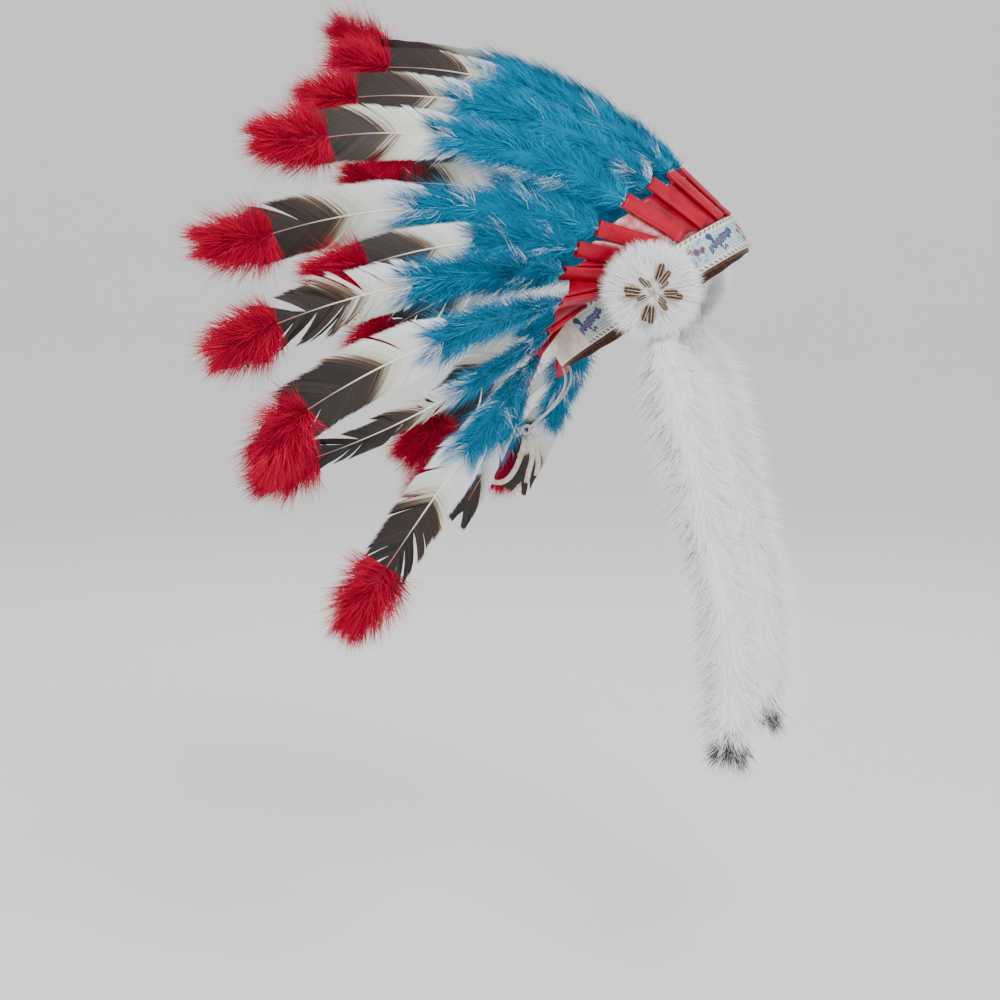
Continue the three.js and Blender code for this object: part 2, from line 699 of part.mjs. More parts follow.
// Small striped feathers spread round a button, on the face of the rosette.
function smallFeathersGeometry() {
  const place = rosettePlace();
  const low = ROSETTE_DEPTH / 2 + GAP;
  const buttonRing = (raised) =>
    Array.from({ length: BUTTON_SIDES }, (_, i) =>
      rosettePoint(place, (i / BUTTON_SIDES) * 2 * Math.PI, BUTTON_RADIUS, raised),
    );
  const button = loft([buttonRing(low), buttonRing(low + BUTTON_DEPTH)]);
  const middle = low + BUTTON_DEPTH / 2;
  const leaves = SMALL_FEATHERS.map((leaf) => {
    const turn = radians(leaf.turn);
    const reach = leaf.length * SMALL_FEATHER_LENGTH;
    const half = (leaf.width * SMALL_FEATHER_WIDTH) / 2;
    const section = (share, width) => {
      const side = (sign) =>
        rosettePoint(place, turn, share * reach, middle)
          .addScaledVector(place.forward, -sign * width * half * Math.sin(turn))
          .addScaledVector(place.up, sign * width * half * Math.cos(turn));
      const raised = (sign) =>
        rosettePoint(place, turn, share * reach, middle + (sign * SMALL_FEATHER_DEPTH) / 2);
      return [side(1), raised(1), side(-1), raised(-1)];
    };
    return loft([section(0.08, 0.3), section(0.35, 0.8), section(0.72, 1), section(1, 0.12)]);
  });
  return fused([button, ...leaves]);
}

// A strip of long-haired fur: a flat tab against the trim, then fur whose edges hang in locks.
function dropGeometry(forward) {
  const top = DROP_STATIONS[0];
  const rearEdge = new THREE.Vector3(DROP_SEAT - top.aft * DROP_WIDTH, 0, -top.down * DROP_LENGTH);
  const seat = trimReach(inBandFrame(rearEdge).x) + GAP + (top.depth * DROP_DEPTH) / 2;
  return loft(DROP_STATIONS.map((s, i) => {
    const x = DROP_SEAT + s.forward * (forward - DROP_SEAT);
    const y = seat + s.out * DROP_STANDOFF;
    const z = -s.down * DROP_LENGTH;
    const fore = s.fore * DROP_WIDTH;
    const aft = s.aft * DROP_WIDTH;
    const half = (s.depth * DROP_DEPTH) / 2;
    const hang = i < TAB_STATIONS || i === DROP_STATIONS.length - 1 ? 0 : LOCK_HANG;
    return [
      new THREE.Vector3(x + fore, y, z - hang),
      new THREE.Vector3(x + fore / 2, y + half, z),
      new THREE.Vector3(x - aft / 2, y + half, z),
      new THREE.Vector3(x - aft, y, z - hang),
      new THREE.Vector3(x - aft / 2, y - half, z),
      new THREE.Vector3(x + fore / 2, y - half, z),
    ];
  }));
}

function addTemples() {
  for (const [side, name] of [[1, "left"], [-1, "right"]]) {
    add(headdress, `rosette_${name}`, mirrored(rosetteGeometry(), side), "fur");
    add(headdress, `rosette_feathers_${name}`, mirrored(smallFeathersGeometry(), side), "hackle");
    add(headdress, `fur_drop_${name}`, mirrored(dropGeometry(DROP_FORWARD[name]), side), "fur");
  }
}

// A flat lace along a route from the knot, with its width level or in the plane of its curve.
function laceGeometry(route, widthLevel) {
  const width = LACE_WIDTH / 2;
  const depth = LACE_DEPTH / 2;
  const bevel = depth * 0.6;
  const corners = [
    [width, -depth + bevel],
    [width, depth - bevel],
    [width - bevel, depth],
    [-width + bevel, depth],
    [-width, depth - bevel],
    [-width, -depth + bevel],
    [-width + bevel, -depth],
    [width - bevel, -depth],
  ].map(([x, y]) => (widthLevel ? new THREE.Vector2(x, y) : new THREE.Vector2(-y, x)));
  const path = new THREE.CatmullRomCurve3(
    route.map(([x, y, z]) => new THREE.Vector3(x - KNOT_BACK, y, z - KNOT_DOWN)),
  );
  const steps = Math.ceil(path.getLength() / (2 * LACE_WIDTH));
  const lace = new THREE.ExtrudeGeometry(new THREE.Shape(corners), {
    steps,
    extrudePath: path,
    bevelEnabled: false,
  });
  lace.deleteAttribute("normal");
  lace.deleteAttribute("uv");
  return mergeVertices(lace, 1e-4);
}

function addLace() {
  const flipped = LACE_ROUTE.map(([x, y, z]) => [x, -y, z]);
  add(headdress, "lace_left", laceGeometry(LACE_ROUTE, true), "lace");
  add(headdress, "lace_right", laceGeometry(flipped, true), "lace");
  add(headdress, "lace_bow", laceGeometry(BOW_ROUTE, false), "lace");
  add(headdress, "lace_tail_front", laceGeometry(TAIL_ROUTES.front, false), "lace");
  add(headdress, "lace_tail_rear", laceGeometry(TAIL_ROUTES.rear, false), "lace");
  const knot = new THREE.SphereGeometry(KNOT_SIZE / 2, 10, 7);
  knot.rotateX(Math.PI / 2);
  knot.translate(-KNOT_BACK, 0, -KNOT_DOWN);
  knot.deleteAttribute("normal");
  knot.deleteAttribute("uv");
  add(headdress, "lace_knot", mergeVertices(knot, 1e-4), "lace");
}

addBand();
addFeathers();
addPanel();
addTemples();
addLace();

export default headdress;
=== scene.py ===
from math import cos, pi, radians, sin

import bpy
import numpy as np
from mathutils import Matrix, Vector


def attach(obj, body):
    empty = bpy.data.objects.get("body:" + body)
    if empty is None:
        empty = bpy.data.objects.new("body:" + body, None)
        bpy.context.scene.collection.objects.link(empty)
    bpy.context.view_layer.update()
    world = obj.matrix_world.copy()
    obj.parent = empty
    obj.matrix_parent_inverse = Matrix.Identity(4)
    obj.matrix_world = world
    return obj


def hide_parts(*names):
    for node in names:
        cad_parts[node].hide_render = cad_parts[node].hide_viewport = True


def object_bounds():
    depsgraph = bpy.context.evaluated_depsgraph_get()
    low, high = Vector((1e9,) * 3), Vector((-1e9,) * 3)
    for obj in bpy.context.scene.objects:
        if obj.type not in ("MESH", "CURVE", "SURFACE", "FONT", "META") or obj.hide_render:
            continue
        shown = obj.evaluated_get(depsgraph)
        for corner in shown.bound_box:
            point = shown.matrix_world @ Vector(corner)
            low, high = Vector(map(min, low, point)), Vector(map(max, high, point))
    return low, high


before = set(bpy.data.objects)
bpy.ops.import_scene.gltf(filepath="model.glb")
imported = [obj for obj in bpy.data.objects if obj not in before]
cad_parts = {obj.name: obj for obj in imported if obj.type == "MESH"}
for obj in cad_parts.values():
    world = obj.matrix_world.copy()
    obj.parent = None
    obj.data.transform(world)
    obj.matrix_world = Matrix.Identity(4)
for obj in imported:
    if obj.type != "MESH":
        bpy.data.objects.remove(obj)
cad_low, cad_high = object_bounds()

# The studio: a pale floor that curves up into a backdrop, three broad soft lights, and a camera
# that looks at the right side of the headdress from a little in front and above.
CAMERA_TURN, CAMERA_RISE = radians(13), radians(7)
CAMERA_DISTANCE, CAMERA_ASIDE, CAMERA_UP = 2.6, -0.146, -0.208
SENSOR_WIDTH, LENS = 36, 93.6  # millimetres
LIGHTS_AIM, SKY_STRENGTH = (-0.1, 0, 0), 0.93
FLOOR_HEIGHT, FLOOR_REACH = -0.74, 40.0
BACKDROP_BEHIND, BACKDROP_CURVE, BACKDROP_HEIGHT, BACKDROP_HALF_WIDTH = 6.0, 2.0, 9.0, 40.0

looking = Vector((-sin(CAMERA_TURN) * cos(CAMERA_RISE), cos(CAMERA_TURN) * cos(CAMERA_RISE),
                  -sin(CAMERA_RISE)))
to_right = Vector((cos(CAMERA_TURN), sin(CAMERA_TURN), 0))
camera = bpy.data.objects.new("camera", bpy.data.cameras.new("camera"))
camera.data.sensor_width, camera.data.lens = SENSOR_WIDTH, LENS
camera.location = -CAMERA_DISTANCE * looking + CAMERA_ASIDE * to_right + CAMERA_UP * to_right.cross(looking)
camera.rotation_euler = looking.to_track_quat("-Z", "Y").to_euler()
bpy.context.collection.objects.link(camera)
bpy.context.scene.camera = camera


def soft_light(name, place, size, power):
    lamp = bpy.data.objects.new(name, bpy.data.lights.new(name, "AREA"))
    lamp.data.shape, lamp.data.size, lamp.data.energy = "DISK", size, power
    lamp.location = place
    lamp.rotation_euler = (Vector(LIGHTS_AIM) - Vector(place)).to_track_quat("-Z", "Y").to_euler()
    bpy.context.collection.objects.link(lamp)


soft_light("key_light", (1.3, -2.6, 2.1), 1.3, 112)
soft_light("fill_light", (-2.4, -1.9, 0.7), 2.0, 24)
soft_light("back_light", (-0.6, 2.6, 2.4), 1.6, 52)
studio = bpy.data.worlds.new("studio")
studio.use_nodes = True
studio.node_tree.nodes["Background"].inputs["Color"].default_value = (1, 1, 1, 1)
studio.node_tree.nodes["Background"].inputs["Strength"].default_value = SKY_STRENGTH
bpy.context.scene.world = studio


def srgb(red, green, blue):
    """A colour given as 0 to 255 on screen, as Blender's linear values."""
    shares = [c / 255 for c in (red, green, blue)]
    return [c / 12.92 if c <= 0.04045 else ((c + 0.055) / 1.055) ** 2.4 for c in shares] + [1]


def finish_of(name, **settings):
    """A material and its shader. The settings go on the shader's own sockets."""
    finish = bpy.data.materials.new(name)
    finish.use_nodes = True
    shader = finish.node_tree.nodes["Principled BSDF"]
    for socket, value in settings.items():
        shader.inputs[socket.replace("_", " ")].default_value = value
    return finish, shader


def node_in(finish, kind, inputs, **settings):
    node = finish.node_tree.nodes.new("ShaderNode" + kind)
    for key, value in settings.items():
        setattr(node, key, value)
    for key, value in inputs.items():
        if isinstance(value, bpy.types.NodeSocket):
            finish.node_tree.links.new(value, node.inputs[key])
        else:
            node.inputs[key].default_value = value
    return node


def blend_of(finish, share, stops, steps=False):
    """A colour that runs through the stops, given as (place, colour), as share goes from 0 to 1. A
    colour of three numbers is 0 to 255 on screen, one of four is Blender's own."""
    node = node_in(finish, "ValToRGB", {"Fac": share})
    band = node.color_ramp
    if steps:
        band.interpolation = "CONSTANT"
    while len(band.elements) < len(stops):
        band.elements.new(0.5)
    for element, (place, colour) in zip(band.elements, stops):
        element.position, element.color = place, srgb(*colour) if len(colour) == 3 else colour
    return node.outputs["Color"]


def chart_of(finish):
    """The two coordinates that every hand-made mesh carries in its chart."""
    chart = node_in(finish, "UVMap", {}, uv_map="chart")
    parts = node_in(finish, "SeparateXYZ", {"Vector": chart.outputs["UV"]})
    return parts.outputs["X"], parts.outputs["Y"]


def noise_in(finish, scale, detail=3, stretch=None):
    where = node_in(finish, "TexCoord", {}).outputs["Object"]
    if stretch:
        where = node_in(finish, "Mapping", {"Vector": where, "Scale": stretch}).outputs["Vector"]
    return node_in(finish, "TexNoise", {"Vector": where, "Scale": scale, "Detail": detail}).outputs["Fac"]


def link(finish, shader, socket, value):
    finish.node_tree.links.new(value, shader.inputs[socket])


def coloured(finish, shader, share, stops):
    link(finish, shader, "Base Color", blend_of(finish, share, stops))


def relief(finish, shader, height, distance, strength=1.0):
    bump = node_in(finish, "Bump", {"Height": height, "Distance": distance, "Strength": strength})
    link(finish, shader, "Normal", bump.outputs["Normal"])


def mesh_of(name, points, faces, finish, chart=None):
    """An object from points and a list of face arrays. chart has one row for each point or corner."""
    mesh = bpy.data.meshes.new(name)
    corners = np.concatenate([np.asarray(f).ravel() for f in faces]).astype(np.int32)
    sizes = np.concatenate([np.full(len(f), np.shape(f)[1]) for f in faces])
    mesh.vertices.add(len(points))
    mesh.vertices.foreach_set("co", np.asarray(points, np.float32).ravel())
    mesh.loops.add(len(corners))
    mesh.loops.foreach_set("vertex_index", corners)
    mesh.polygons.add(len(sizes))
    mesh.polygons.foreach_set("loop_start", (np.cumsum(sizes) - sizes).astype(np.int32))
    mesh.polygons.foreach_set("use_smooth", np.ones(len(sizes), bool))
    mesh.update(calc_edges=True)
    if chart is None:
        chart = np.asarray(points)[:, :2]
    chart = np.asarray(chart, np.float32)
    if len(chart) == len(points):
        chart = chart[corners]
    layer = mesh.uv_layers.new(name="chart")
    layer.uv.foreach_set("vector", chart.ravel())
    mesh.materials.append(finish)
    made = bpy.data.objects.new(name, mesh)
    bpy.context.collection.objects.link(made)
    return made


def placed(made, slot, *nodes):
    """The piece rides on the headdress and stands for the nodes. slot is not used."""
    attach(made, "root")
    if nodes:
        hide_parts(*nodes)
    return made


paper, paper_shader = finish_of("pale_paper", Roughness=0.9)
coloured(paper, paper_shader, noise_in(paper, 1.5),
         [(0, (0.83, 0.83, 0.83, 1)), (1, (0.86, 0.86, 0.86, 1))])
turns = np.radians(np.linspace(0, 90, 13))
profile = [(-FLOOR_REACH, 0.0), (BACKDROP_BEHIND - BACKDROP_CURVE, 0.0)]
profile += [(BACKDROP_BEHIND - BACKDROP_CURVE + BACKDROP_CURVE * sin(t), BACKDROP_CURVE * (1 - cos(t)))
            for t in turns[1:]]
profile += [(BACKDROP_BEHIND, BACKDROP_HEIGHT)]
sweep_points = []
for away, up in profile:
    for aside in (-BACKDROP_HALF_WIDTH, BACKDROP_HALF_WIDTH):
        spot = aside * to_right + away * Vector((looking.x, looking.y, 0)).normalized()
        sweep_points.append((spot.x, spot.y, FLOOR_HEIGHT + up))
strips = np.array([[2 * i, 2 * i + 1, 2 * i + 3, 2 * i + 2] for i in range(len(profile) - 1)])
floor = mesh_of("floor", sweep_points, [strips], paper)

# The tie lace: a flat woven lace of pale cotton, about 5 mm wide. Its two ends are stitched to the
# ends of the band, and it is tied behind in a half bow, with one loop and two short tails. At
# the knot the two ends are tied over and over into one hard lump.
LACE_WIDTH, LACE_DEPTH = 0.0054, 0.002
KNOT = np.array([-0.122, 0, -0.141])
LEFT_LACE = [
    (0.0039, 0.0031, 0.0033), (0.01, 0.0039, 0.008), (0.019, 0.006, 0.016), (0.029, 0.009, 0.026),
    (0.038, 0.012, 0.038), (0.043, 0.014, 0.05), (0.0426, 0.0152, 0.0594), (0.0404, 0.0154, 0.0654),
]
BOW = [
    (-0.0052, -0.0021, -0.0019), (-0.016, -0.0036, -0.008), (-0.028, -0.004, -0.02),
    (-0.037, -0.0032, -0.033), (-0.04, -0.0014, -0.046), (-0.033, 0.0006, -0.055),
    (-0.021, 0.002, -0.052), (-0.012, 0.0028, -0.04), (-0.007, 0.0032, -0.027),
    (-0.0036, 0.0028, -0.015), (-0.0018, 0.002, -0.0053),
]
FRONT_TAIL = [
    (0.0027, -0.001, -0.0052), (0.0065, -0.0024, -0.018), (0.006, -0.0034, -0.031),
    (0.003, -0.0038, -0.043), (0.0004, -0.003, -0.054),
]
REAR_TAIL = [
    (0.0022, 0.0038, -0.0041), (0.006, 0.008, -0.014), (0.009, 0.0104, -0.026),
    (0.0095, 0.011, -0.038), (0.008, 0.01, -0.048),
]
LACE_POINTS = 24
KNOT_SIZE, KNOT_CORNERS, KNOT_SECTION = 0.011, 28, 10
KNOT_HALF_WIDTH, KNOT_HALF_DEPTH = 0.0021, 0.0011


def unit(vectors):
    return vectors / np.maximum(np.linalg.norm(vectors, axis=-1, keepdims=True), 1e-12)


def smooth_route(route, count):
    """count points, evenly spaced, on one smooth curve through the route's points."""
    p = np.array(route, float)
    p = np.vstack([2 * p[0] - p[1], p, 2 * p[-1] - p[-2]])
    fine = []
    for a, b, c, d in zip(p, p[1:], p[2:], p[3:]):
        ab, bc, cd = (np.linalg.norm(y - x) ** 0.5 for x, y in ((a, b), (b, c), (c, d)))
        leave = ((b - a) / ab - (c - a) / (ab + bc) + (c - b) / bc) * bc
        reach = ((c - b) / bc - (d - b) / (bc + cd) + (d - c) / cd) * bc
        for t in np.linspace(0, 1, 12, endpoint=False):
            fine.append((2 * t**3 - 3 * t**2 + 1) * b + (t**3 - 2 * t**2 + t) * leave
                        + (3 * t**2 - 2 * t**3) * c + (t**3 - t**2) * reach)
    fine = np.array(fine + [p[-2]])
    run = np.r_[0, np.cumsum(np.linalg.norm(np.diff(fine, axis=0), axis=1))]
    even = np.linspace(0, run[-1], count)
    return np.stack([np.interp(even, run, fine[:, i]) for i in range(3)], 1), run[-1]


def sleeve(rings):
    """Points and faces of a closed skin over rings, an array of ring by corner by three."""
    rows, corners = rings.shape[:2]
    index = np.arange(rows * corners).reshape(rows, corners)
    ahead = np.roll(index, -1, 1)
    quads = np.stack([index[:-1], ahead[:-1], ahead[1:], index[1:]], -1).reshape(-1, 4)
    return rings.reshape(-1, 3), [quads, index[:1, ::-1], index[-1:]]


def oval(count, power=1.0):
    turn = np.arange(count) / count * 2 * pi
    return np.stack([np.sign(np.cos(turn)) * np.abs(np.cos(turn)) ** power,
                     np.sign(np.sin(turn)) * np.abs(np.sin(turn)) ** power], 1)


def flat_lace(name, line, wide_way):
    """A lace along line. wide_way is the direction that its width lies in, as near as it can."""
    ahead = unit(np.gradient(line, axis=0))
    across = unit(wide_way - (wide_way * ahead).sum(-1, keepdims=True) * ahead)
    face = np.cross(ahead, across)
    outline = oval(16, 0.55)
    rings = (line[:, None] + across[:, None] * outline[:, :1] * LACE_WIDTH / 2
             + face[:, None] * outline[:, 1:] * LACE_DEPTH / 2)
    run = np.r_[0, np.cumsum(np.linalg.norm(np.diff(line, axis=0), axis=1))]
    points, faces = sleeve(rings)
    chart = np.stack([np.repeat(run, len(outline)) / LACE_WIDTH, np.tile(outline[:, 0] / 2, len(line))], 1)
    return mesh_of(name, points, faces, lace_finish, chart)


def joined(*meshes):
    """Several (points, faces, chart) as one."""
    start, points, faces, charts = 0, [], [], []
    for some_points, some_faces, chart in meshes:
        points.append(some_points)
        charts.append(chart)
        faces += [np.asarray(f) + start for f in some_faces]
        start += len(some_points)
    return np.concatenate(points), faces, np.concatenate(charts)


lace_finish, lace_shader = finish_of("lace_cotton", Roughness=0.88, Specular_IOR_Level=0.25)
lace_along, lace_across = chart_of(lace_finish)
lace_place = node_in(lace_finish, "CombineXYZ", {"X": lace_along, "Y": lace_across}).outputs["Vector"]
weft_bands = node_in(lace_finish, "TexWave", {"Vector": lace_place, "Scale": 2.2, "Distortion": 0.6},
                     bands_direction="DIAGONAL")
coloured(lace_finish, lace_shader, noise_in(lace_finish, 260),
         [(0.25, (168, 158, 146)), (0.75, (222, 214, 202))])
relief(lace_finish, lace_shader, weft_bands.outputs["Fac"], 0.0004)

turns = []
for tilt, swing, offset in ((0.3, 0.0, 0.0), (-0.5, 0.9, 0.0008), (1.2, 0.4, -0.0006)):
    ring = np.linspace(0, 2 * pi, KNOT_CORNERS, endpoint=False)
    circle = np.stack([np.cos(ring) * 0.3, np.cos(ring) * 0.1 + offset, np.sin(ring) * 0.42], 1) * KNOT_SIZE
    circle[:, 1] += np.sin(ring * 2 + swing) * KNOT_SIZE * 0.3
    c, s = cos(tilt), sin(tilt)
    x, y, z = circle.T
    circle = np.stack([x * c - z * s, y, x * s + z * c], 1)
    ahead = unit(np.roll(circle, -1, 0) - np.roll(circle, 1, 0))
    outward = unit(circle - circle.mean(0))
    beside = unit(np.cross(ahead, outward))
    outline = oval(KNOT_SECTION)
    rings = (circle[:, None] + beside[:, None] * outline[:, :1] * KNOT_HALF_WIDTH
             + outward[:, None] * outline[:, 1:] * KNOT_HALF_DEPTH)
    points, faces = sleeve(np.concatenate([rings, rings[:1]]))
    round_lace = np.tile(np.arange(KNOT_SECTION) / KNOT_SECTION, KNOT_CORNERS + 1)
    chart = np.stack([np.repeat(np.r_[ring, 2 * pi], KNOT_SECTION), round_lace], 1)
    turns.append((points + KNOT, faces, chart))
points, faces, chart = joined(*turns)
knot = placed(mesh_of("lace_knot_turns", points, faces, lace_finish, chart), "lace", "lace_knot")

left_line, left_length = smooth_route(LEFT_LACE[::-1], LACE_POINTS)
for side, name in ((1, "lace_left"), (-1, "lace_right")):
    line = left_line * (1, side, 1) + KNOT
    lace = placed(flat_lace(name + "_cord", line, np.array([0.0, 1.0, 0.0])), "lace", name)
for name, route, far_end in (("lace_bow", BOW, "knot"), ("lace_tail_front", FRONT_TAIL, "bare"),
                             ("lace_tail_rear", REAR_TAIL, "bare")):
    line, length = smooth_route(route, LACE_POINTS)
    line = line + KNOT
    in_plane = np.cross(unit(np.gradient(line, axis=0)), (0.0, 1.0, 0.0))
    lace = placed(flat_lace(name + "_cord", line, in_plane), "lace", name)

# The feathers: white turkey quills whose tips are brown-black. Each has its downy lower half dyed
# turquoise and a tuft of red marabou glued round its tip. They stand in vinyl wraps round the band.
BAND_TILT = radians(33)
HEAD_LENGTH, HEAD_WIDTH = 0.216, 0.164
GAP = 0.0003
BAND_TOP = 0.018
BAND_MIDDLE, TRIM_OUTER = 0.00335, 0.0052
WRAP_LENGTH, WRAP_WIDTH, WRAP_DEPTH = 0.067, 0.016, 0.0052
PANEL_WALL = 0.0012
ON_TOP_SLOPE = 0.2
FEATHER_LENGTH, VANE_WIDTH, PLUME_WIDTH = 0.4, 0.052, 0.044
TUFT_LENGTH, TUFT_WIDTH = 0.076, 0.054
PANEL_REST = BAND_TOP + GAP + PANEL_WALL
PANEL_BEHIND = WRAP_DEPTH / 2 + GAP + PANEL_WALL / 2
FRONT_FEATHER, FEATHER_COUNT = 11, 21
QUILL_ROOT_RADIUS, QUILL_TIP_RADIUS, QUILL_SIDES, QUILL_RINGS = 0.0019, 0.0004, 8, 40
BARB_PITCH, BARB_STOPS, HAIR_STOPS = 0.0007, 5, 3
PLUME_BARB, TUFT_BARB = 0.00034, 0.00032
PLUME_LOCKS, PLUME_LOCK_BARBS = 190 / 0.18, 25  # locks for each metre, barbs in a lock
TUFT_LOCKS, TUFT_LOCK_BARBS = 130, 27  # locks in a tuft of full size
TUFT_SPILL = 0.02
FEATHER_COLUMNS = (
    "around lift tip_lift flare tip_flare length width roll tuft tuft_lift dyed black ragged"
).split()
FEATHERS = [dict(zip(FEATHER_COLUMNS, row)) for row in (
    (0, 43, 0, 0, 0, 0.995, 0.94, 32, 0.95, 30, 0.75, 0.75, 0.2),
    (17, 41, -1, 5, 6, 0.94, 0.94, 28, 0.78, 15, 0.72, 0.72, 0.2),
    (34, 38, -6, 11, 10, 0.94, 0.94, 18, 0.75, 0, 0.73, 0.74, 0.2),
    (50.5, 33, -9, 18, 16, 0.925, 1, 8, 1, 0, 0.69, 0.78, 0.25),
    (63.5, 17, -19, 26, 22, 0.975, 1.1, 4, 1, -5, 0.63, 0.76, 0.2),
    (77, 12, -21, 33, 23, 0.7, 0.85, -30, 0.8, -12, 0.58, 0.68, 0.3),
    (89.5, 4, -24, 46, 25, 0.914, 1.06, -45, 0.95, -31, 0.62, 0.72, 1),
    (102, -12, -36, 61, 22, 0.904, 1.08, -60, 1, -63, 0.58, 0.69, 0.25),
    (115, -43, -19, 59, 9, 0.848, 0.74, -35, 0.88, -27, 0.5, 0.58, 0.8),
    (129, -62, -58, 54, 15, 0.847, 1.04, 50, 1, -61, 0.56, 0.68, 0.6),
    (146, -74, -60, 36, 4, 0.46, 0.6, 40, 0.35, -66, 0.7, 0.85, 0.5),
)]
LEFT_BENDS = {
    4: dict(tip_lift=0, tip_flare=19, tuft_lift=6),
    5: dict(tip_lift=-21, tip_flare=10, length=0.955, width=1.06, tuft=0.95, tuft_lift=-5),
    6: dict(tip_lift=-34, tip_flare=-21, tuft_lift=-53),
    7: dict(tip_lift=-57, tip_flare=-40, tuft_lift=-49),
    8: dict(tip_lift=-42, tip_flare=-30, tuft_lift=-43),
    9: dict(tip_lift=-50, tip_flare=-12, length=0.62, width=0.7, tuft=0.5, tuft_lift=-62),
}


def level(band_point):
    """A point or direction of the tilted band, turned into the frame of the whole headdress."""
    x, y, z = np.moveaxis(np.asarray(band_point, float), -1, 0)
    c, s = cos(BAND_TILT), sin(BAND_TILT)
    return np.stack([c * x - s * z, y, s * x + c * z], -1)


BAND_UP = level((0, 0, 1))


def on_ring(around, offset, height):
    a = np.radians(around)
    x, y = (HEAD_LENGTH / 2 + offset) * np.cos(a), (HEAD_WIDTH / 2 + offset) * np.sin(a)
    return level(np.stack(np.broadcast_arrays(x, y, height), -1))


def ring_outward(around):
    a = np.radians(around)
    return level(unit(np.stack([np.cos(a) / HEAD_LENGTH, np.sin(a) / HEAD_WIDTH, 0 * a], -1)))


def heading(lift, flare):
    l, f = radians(lift), radians(flare)
    return np.array([-cos(l) * cos(f), sin(f), sin(l) * cos(f)])


def wrap_foot(row):
    along = heading(row["lift"], row["flare"])
    a = radians(row["around"])
    tangent = level((-sin(a) * HEAD_LENGTH, cos(a) * HEAD_WIDTH, 0))
    across = unit(tangent - tangent @ along * along)
    face = np.cross(across, along)

    def reach(way):
        return WRAP_WIDTH / 2 * abs(across @ way) + WRAP_DEPTH / 2 * abs(face @ way)

    outward = ring_outward(row["around"])
    if along @ BAND_UP > ON_TOP_SLOPE:
        point = on_ring(row["around"], BAND_MIDDLE, BAND_TOP + GAP + reach(BAND_UP))
    else:
        height = PANEL_REST - PANEL_BEHIND * abs(face @ BAND_UP)
        point = on_ring(row["around"], TRIM_OUTER + GAP, height) + outward * reach(outward)
    return point, along, across, face


class Spine:
    """The middle line of a feather, from the foot of its wrap, with its directions at any distance."""

    def __init__(self, row, side):
        self.length = row["length"] * FEATHER_LENGTH
        self.tuft = row["tuft"] * TUFT_LENGTH
        point, along, across, _ = wrap_foot(row)
        step, kept = 0.002, []
        for run in np.arange(0, self.length + self.tuft + step, step):
            middle = run + step / 2
            bend = min(max((middle - WRAP_LENGTH) / (self.length - WRAP_LENGTH), 0), 1)
            past = min(max((middle - self.length) / (0.3 * TUFT_LENGTH), 0), 1)
            lift = row["lift"] + (row["tip_lift"] - row["lift"]) * bend
            lift += (row["tuft_lift"] - lift) * past
            flare = row["flare"] + (row["tip_flare"] - row["flare"]) * bend
            turned = min(max((run - WRAP_LENGTH) / (0.6 * self.length - WRAP_LENGTH), 0), 1)
            turn = radians(row["roll"]) * turned * turned * (3 - 2 * turned)
            sideways = np.cross(along, across)
            rolled = across * cos(turn) + sideways * sin(turn)
            kept.append(np.concatenate([[run], point, along, rolled, np.cross(rolled, along)]))
            along = heading(lift, flare)
            across = unit(across - across @ along * along)
            point = point + step * along
        self.kept = np.array(kept)
        for column in (2, 5, 8, 11):
            self.kept[:, column] *= side

    def at(self, run):
        """Places and directions along, across and out of the face, at each distance in run."""
        values = [np.interp(run, self.kept[:, 0], self.kept[:, i]) for i in range(1, 13)]
        place, along, across, face = (np.stack(values[i:i + 3], -1) for i in (0, 3, 6, 9))
        return place, unit(along), unit(across), unit(face)


def ribbons(lines, sides):
    """Points and faces of barbs: each a ribbon that narrows to a point. lines and sides are arrays
    of barb by point by three, sides giving half the width."""
    count, stops = lines.shape[:2]
    pairs = np.stack([lines[:, :-1] + sides[:, :-1], lines[:, :-1] - sides[:, :-1]], 2)
    points = np.concatenate([pairs.reshape(count, -1, 3), lines[:, -1:]], 1)
    each = points.shape[1]
    first = np.arange(count)[:, None] * each
    quads = np.concatenate([first + [2 * i, 2 * i + 1, 2 * i + 3, 2 * i + 2] for i in range(stops - 2)])
    tips = first + [2 * stops - 4, 2 * stops - 3, 2 * stops - 2]
    return points.reshape(-1, 3), [quads, tips]


def ribbon_chart(tone):
    """The chart of hairs that have one tone each, with the way along them as the second value."""
    run = np.linspace(0, 1, HAIR_STOPS)
    run = np.r_[np.repeat(run[:-1], 2), run[-1]]
    return np.stack([np.repeat(tone, len(run)), np.tile(run, len(tone))], 1)


def barb_chart(tone, share):
    """The chart of barbs whose tone is given at each stop and whose second value is one for each."""
    along = np.concatenate([np.repeat(tone[:, :-1], 2, 1), tone[:, -1:]], 1).ravel()
    return np.stack([along, np.repeat(share, 2 * tone.shape[1] - 1)], 1)


def bent(start, control, end, stops):
    t = np.linspace(0, 1, stops)[None, :, None]
    return (1 - t) ** 2 * start[:, None] + 2 * t * (1 - t) * control[:, None] + t**2 * end[:, None]


